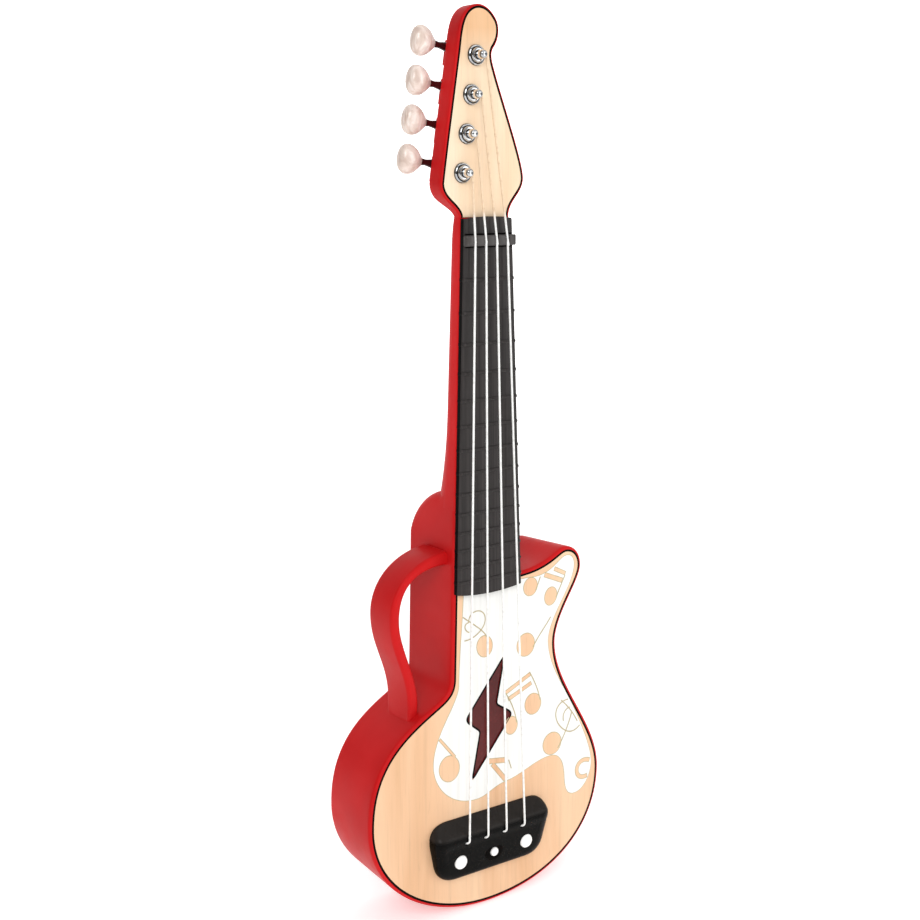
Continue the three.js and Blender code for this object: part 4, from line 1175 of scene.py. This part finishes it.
# Turning profiles: radius, depth, and 1 where the skin that follows is given the painted groove shade.
POST_PROFILE = [
    (0.01, -8.0, 0), (0.9, -8.05, 0), (1.4, -8.2, 0), (1.8, -8.05, 0), (2.1, -7.7, 0), (2.2, -7.3, 0),
    (2.1, -6.9, 0), (1.8, -6.6, 1), (1.7, -6.4, 1), (1.7, -4.6, 1), (1.9, -4.3, 0), (2.25, -4.1, 0),
    (2.3, -3.2, 0), (2.0, -3.0, 1), (2.0, 12.0, 0), (2.0, 14.2, 0), (2.3, 14.4, 0), (2.3, 16.6, 0),
    (2.2, 16.8, 0), (0.01, 16.8, 0),
]
WASHER_PROFILE = [
    (2.2, -0.9, 1), (2.3, -2.3, 1), (2.7, -2.9, 0), (3.3, -2.95, 0), (3.8, -2.7, 0), (4.15, -2.1, 0),
    (4.25, -1.5, 0), (4.2, -1.15, 1), (4.55, -1.05, 1), (4.7, -1.4, 0), (5.0, -1.5, 0), (5.3, -1.3, 0),
    (5.5, -0.9, 0), (5.45, -0.5, 1), (5.6, -0.3, 1), (5.6, 0.02, 1),
]


def turned(name, profile, count, place, body, replaces):
    """A chrome turning; the third value of each profile point gives the skin that follows it the dark
    material, painted shade and painted dark reflection in the grooves.
    """
    form = Form()
    form.sleeve(lathe([point[:2] for point in profile], count, *place), [point[2] for point in profile])
    piece(name, form, [CHROME, GROOVE_SHADE], body, (replaces,))


def build_posts():
    for i, (px, pz) in enumerate(post_spots()):
        number = i + 1
        turned(f"washer_{number}", WASHER_PROFILE, 44, (px, pz), "guitar", f"tuner_bushing_{number}")
        turned(f"post_{number}", POST_PROFILE, 36, (px, pz), f"post_{number}", f"string_post_{number}")
        turns = []
        for k in range(0, 2 * 16 + 7):
            a = 2 * math.pi * k / 16
            turns.append((px + 2.15 * math.cos(a), -5.9 + 0.5 * k / 16, pz + 2.15 * math.sin(a)))
        form = Form()
        form.rod(tube(turns, 0.42, 10))
        piece(f"winding_{number}", form, NYLON, f"post_{number}", sharp=60)


def tuner_frame(index):
    px, pz = post_spots()[index]
    return Matrix.Translation((px * MM, 0, pz * MM)) @ Matrix.Rotation(PEG_LEAN, 4, "Y")


def along_shaft(profile, count, flat=1.0):
    """Loops round the peg's axis, which points to -X, from (radius, distance) pairs."""
    ring = circle(PEG_Y, PEG_OFFSET, 1, count)
    return [
        [(-d, PEG_Y + r * flat * (y - PEG_Y), PEG_OFFSET + r * (z - PEG_OFFSET)) for y, z in ring]
        for r, d in profile
    ]


def build_pegs():
    shaft = [(0.01, -6.2), (0.8, -6.2), (1.0, -6.0), (1.0, -3.2)]
    for thread in range(8):
        d = 0.8 * thread - 3.2
        shaft += [(1.0, d), (1.45, d + 0.25), (1.45, d + 0.45), (1.0, d + 0.7)]
    shaft += [(1.0, 3.9), (1.4, 4.0), (1.4, 8.2), (2.2, 8.35), (2.75, 8.7), (2.8, 9.3), (2.55, 10)]
    shaft += [(2.3, 11.2), (2.0, 12.8), (1.75, 14.4), (1.7, 15.4), (1.9, 16.5), (2.0, 17.9)]
    knob = [(0.01, 17.6), (1.3, 17.6), (2.2, 17.65), (2.7, 17.9), (3.2, 18.4), (4.2, 19.4), (5.5, 20.6)]
    knob += [(6.7, 22.0), (7.6, 23.6), (8.15, 25.3), (8.3, 26.8), (8.1, 28.3), (7.5, 29.7), (6.4, 30.9)]
    knob += [(4.8, 31.7), (2.9, 32.05), (1.2, 32.1), (0.01, 32.1)]
    for i in range(4):
        number = i + 1
        form = Form()
        form.sleeve(along_shaft(shaft, 28))
        piece(
            f"peg_stem_{number}", form, SHAFT, f"peg_{number}",
            (f"peg_shaft_{number}",), move=tuner_frame(i),
        )
        form = Form()
        form.sleeve(along_shaft(knob, 48, 0.6))
        piece(
            f"knob_{number}", form, PEARL, f"peg_{number}",
            (f"peg_knob_{number}",), sharp=60, move=tuner_frame(i),
        )


# ---- Bridge, buttons and window ----


def bridge_outline(inset):
    """The housing's outline, drawn in further at its two ends than along its top and bottom."""
    ends = 1.9 * inset
    return rounded(
        [
            (44.6 - ends, BRIDGE_TOP_Z - inset, 15 - inset),
            (-44.6 + ends, BRIDGE_TOP_Z - inset, 15 - inset),
            (-37.5 + ends, BRIDGE_FOOT_Z + inset, 11 - inset),
            (37.5 - ends, BRIDGE_FOOT_Z + inset, 11 - inset),
        ],
        12,
    )


def bridge_front(z):
    """The bridge's front surface: ramp, rounded crest, long lower slope."""
    if z > -360.5:
        t = (z + 360.5) / 8.2
        return BRIDGE_FRONT + 7.4 * (0.35 * ease(t) + 0.65 * t)
    t = max(-363.5 - z, 0) / 25.7
    return BRIDGE_FRONT + 0.5 * ease(t * 5) + 3.9 * t


def bridge_mesh():
    """The closed housing: wall, rounded shoulder and a front gridded to follow the slope."""
    form = Form()
    shoulder = [(0, 0), (0, 0.35), (0.25, 0.58), (0.8, 0.79), (1.6, 0.92), (2.6, 0.98), (3.8, 1.0)]
    loops = []
    for inset, rise in shoulder:
        loops.append([(x, -0.05 + (bridge_front(z) + 0.05) * rise, z) for x, z in bridge_outline(inset)])
    rings = form.sleeve(loops[::-1])
    form.cap(rings[-1], flip=True)
    grid = bmesh.new()
    grid.faces.new([grid.verts.new((x, 0, z)) for x, z in bridge_outline(shoulder[-1][0])])
    cuts = [((0, 0, BRIDGE_TOP_Z - 0.6 * i), (0, 0, 1)) for i in range(1, 62)]
    cuts += [((8 * i - 48, 0, 0), (1, 0, 0)) for i in range(1, 12)]
    for place, normal in cuts:
        parts = grid.verts[:] + grid.edges[:] + grid.faces[:]
        bmesh.ops.bisect_plane(grid, geom=parts, plane_co=place, plane_no=normal)
    index = {vert: form.ring([(vert.co.x, bridge_front(vert.co.z), vert.co.z)])[0] for vert in grid.verts}
    for flat in grid.faces:
        form.face(tuple(index[vert] for vert in flat.verts))
    grid.free()
    return repaired(form.mesh("bridge_cover"), 2e-6)


def bore(cover, x, z, radius, back):
    """Cuts a round hole from the front into the housing, down to a depth."""
    form = Form()
    form.rod(lathe([(radius, -14), (radius, back)], 40, x, z), flip_first=False)
    tool = placed("bore", repaired(form.mesh("bore")))
    modifier = cover.modifiers.new("bore", "BOOLEAN")
    modifier.operation = "DIFFERENCE"
    modifier.solver = "EXACT"
    modifier.object = tool
    return tool


def build_bridge():
    cover = placed("bridge_cover", bridge_mesh())
    buttons = ((-BUTTON_X, 4.6), (BUTTON_X, 4.6), (0, 3.0))
    tools = [bore(cover, x, BUTTON_Z, radius, -1.6) for x, radius in buttons]
    tools += [bore(cover, string_x(i, SADDLE_PITCH) - 1.0, -365.4, 1.2, -4) for i in range(4)]
    bpy.context.view_layer.update()
    graph = bpy.context.evaluated_depsgraph_get()
    drilled = bpy.data.meshes.new_from_object(cover.evaluated_get(graph))
    for tool in tools:
        bpy.data.objects.remove(tool)
    cover.modifiers.clear()
    cover.data = drilled
    drilled.materials.clear()
    drilled.materials.append(BRIDGE_BLACK)
    smoothed(drilled, 32)
    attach(cover, "guitar")
    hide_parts("bridge_housing")
    collar = [(0, -5), (2.4, -5), (2.5, -6.6), (2.2, -7.1), (1.6, -7.35)]
    collar += [(0.7, -7.35), (0.25, -7.2), (0, -6.8)]
    loops = []
    for rise, y in collar + collar[:1]:
        wide, high = 3.0 + 1.5 * rise, 3.0 + rise
        loops.append([(x * wide, y, BUTTON_Z + z * high) for x, z in circle(0, 0, 1, 48)])
    ring = Form()
    ring.sleeve(loops[::-1])
    piece("button_collar", ring, EDGE_BLACK, "guitar")


def build_buttons():
    """Domed caps with a flange behind: name, place across, radius and front of each."""
    bend = 0.9
    buttons = (("left", -BUTTON_X, 4.3, -7.6), ("right", BUTTON_X, 4.3, -7.6), ("centre", 0, 2.7, -8.0))
    for name, x, radius, front in buttons:
        profile = [(0.01, front - 0.25), (radius * 0.5, front - 0.2), (radius - bend, front - 0.02)]
        for a in quarter(6, 1):
            profile.append((radius - bend * (1 - math.sin(a)), front + bend * (1 - math.cos(a))))
        profile += [(radius, -3.3), (radius + 1, -3.3), (radius + 1, -2.9), (0.01, -2.9)]
        form = Form()
        form.sleeve(lathe(profile, 48, x, BUTTON_Z))
        piece(f"{name}_cap", form, WHITE, f"{name}_button", (f"{name}_button",))


def build_window():
    line = bolt_outline(1.0)
    border = Form()
    steps = ((-0.6, -0.07), (-0.4, -0.16), (0.15, -0.16), (0.5, -0.07))
    border.sleeve([at_depth(grown(line, grow), y) for grow, y in steps])
    piece("window_edge", border, EDGE_BLACK, "guitar")
    form = Form()
    form.plate([grown(line, -0.5)], 0.25, -1)
    form.sleeve([at_depth(grown(line, -0.5), y) for y in (0.25, 0.3)])
    form.sleeve([at_depth(line, y) for y in (0.3, 4.0)])
    flange = bolt_outline(1.14)
    form.plate([flange], 3.4, -1)
    form.plate([flange], 4.4, 1)
    piece("bolt_window", form, LENS, "guitar", ("bolt_lens",))


# ---- CAD nodes that stay, with softened edges and full materials ----


def finish_node(name, look, edge):
    """Gives a CAD node its material and softens its sharp edges by a width in millimetres."""
    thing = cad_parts[name]
    thing.data.materials.clear()
    thing.data.materials.append(look)
    if edge:
        modifier = thing.modifiers.new("soft_edges", "BEVEL")
        modifier.width = edge * MM
        modifier.segments = 2
        modifier.limit_method = "ANGLE"
        modifier.angle_limit = math.radians(40)


FINISHES = [
    (RED, 0.3, ["battery_door"]),
    (RED, 0.6, [f"tuner_housing_{i}" for i in range(1, 5)]),
    (STEEL, 0.12, ["battery_door_screw"] + [f"shell_screw_{i}" for i in range(1, 7)]),
    (STEEL, 0.1, ["speaker_frame", "speaker_magnet", "upper_contact", "lower_contact"]),
    (GREEN, 0.1, ["light_board", "main_board", "button_board"]),
    (CELL, 0, [f"battery_{i}" for i in range(1, 4)]),
    (CONE, 0, ["speaker_cone"]),
    (BLACK, 0.2, ["battery_box"]),
    (WHITE, 0.2, ["light_shroud"]),
]


def finish_nodes():
    for look, edge, names in FINISHES:
        for name in names:
            finish_node(name, look, edge)


def build_door_grip():
    """Five finger ridges on the battery door, each a half-round bar with low ends."""
    form = Form()
    for i in range(5):
        z = -345 - 3.2 * i
        half = 9 - 0.6 * i
        loops = []
        for x, r in ((-half, 0.25), (0.6 - half, 0.7), (half - 0.6, 0.7), (half, 0.25)):
            turns = [math.radians(a) for a in range(-90, 91, 20)]
            foot = BODY_DEPTH - 0.25
            loops.append([(x, foot + r * math.cos(a), z + r * 1.2 * math.sin(a)) for a in turns])
        form.sleeve(loops, closed=False)
    piece("door_grip", form, RED, "battery_cover")


# ---- Studio ----


FLOOR_GLOW = 0.42
FAR_GLOW = 0.6
SKY_STRENGTH = 0.62


def build_stage():
    """A floor that curves up behind the object, squared to the camera."""
    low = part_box("body_shell")[0].z / MM - 0.6
    line = [(-2500, 0), (1400, 0)]
    line += [(1400 + 1200 * math.sin(a), 1200 * (1 - math.cos(a))) for a in quarter(16, 1)]
    line.append((2600, 4200))
    across, ahead = (math.cos(VIEW_YAW), -math.sin(VIEW_YAW)), (math.sin(VIEW_YAW), math.cos(VIEW_YAW))
    form = Form()
    form.sleeve(
        [
            [(across[0] * side + ahead[0] * y, across[1] * side + ahead[1] * y, low + z) for y, z in line]
            for side in (-4500, 4500)
        ],
        closed=False,
    )
    mesh = form.mesh("floor")
    smoothed(mesh)
    look = Look("studio_floor")
    look.put("Base Color", look.ramp(look.noise(3, 2), (0.3, "#F6F5F4"), (0.7, "#FBFAFA")))
    look.put("Roughness", 0.9)
    look.put("Specular IOR Level", 0)
    look.put("Emission Color", (1, 1, 1, 1))
    distance = look.node("ShaderNodeVectorMath", operation="LENGTH")
    look.plug(look.place, distance.inputs[0])
    far = look.mapped(distance.outputs["Value"], 1.0, 2.2, 0, FAR_GLOW)
    seen = look.math("MULTIPLY", look.camera_ray(), far)
    look.put("Emission Strength", look.math("ADD", seen, FLOOR_GLOW))
    mesh.materials.append(look.material)
    placed("floor", mesh)


def lamp(name, place, size, power):
    """A soft rectangular lamp aimed at the middle of the guitar."""
    light = bpy.data.lights.new(name, "AREA")
    light.shape = "RECTANGLE"
    light.size, light.size_y = size
    light.energy = power
    turn = (Vector((0, 0, -0.2)) - Vector(place)).to_track_quat("-Z", "Y")
    placed(name, light).matrix_world = Matrix.Translation(place) @ turn.to_matrix().to_4x4()


def build_world():
    """A soft sky, dimmer low down and on the left, that the camera itself sees as plain white."""
    world = bpy.data.worlds.new("studio")
    world.use_nodes = True
    nodes = Nodes(world.node_tree)
    parts = nodes.node("ShaderNodeSeparateXYZ")
    nodes.plug(nodes.node("ShaderNodeTexCoord").outputs["Generated"], parts.inputs[0])
    height = nodes.mapped(parts.outputs["Z"], -0.25, 0.55, 0.22, 1)
    side = nodes.mapped(parts.outputs["X"], -0.9, 0, 0.4, 1)
    sky = world.node_tree.nodes["Background"]
    nodes.plug(nodes.math("MULTIPLY", height, side), sky.inputs["Color"])
    sky.inputs["Strength"].default_value = SKY_STRENGTH
    white = nodes.node("ShaderNodeBackground")
    white.inputs["Color"].default_value = (1, 1, 1, 1)
    choice = nodes.node("ShaderNodeMixShader")
    nodes.plug(nodes.camera_ray(), choice.inputs[0])
    nodes.plug(sky.outputs[0], choice.inputs[1])
    nodes.plug(white.outputs[0], choice.inputs[2])
    nodes.plug(choice.outputs[0], world.node_tree.nodes["World Output"].inputs["Surface"])
    SCENE.world = world


def build_light():
    build_world()
    lamp("key", (-1.9, -2.2, 1.6), (1.7, 1.7), 49)
    lamp("front_fill", (1.4, -1.6, 0.3), (1.0, 1.6), 10)
    lamp("top", (0.1, -0.2, 1.9), (1.6, 1.6), 6)
    SCENE.view_settings.view_transform = "Standard"
    SCENE.view_settings.look = "None"
    SCENE.view_settings.exposure = 0


build_shell()
build_faces()
build_print()
build_fretboard()
build_nut()
build_strings()
build_posts()
build_pegs()
build_bridge()
build_buttons()
build_window()
build_door_grip()
finish_nodes()
build_stage()
build_light()
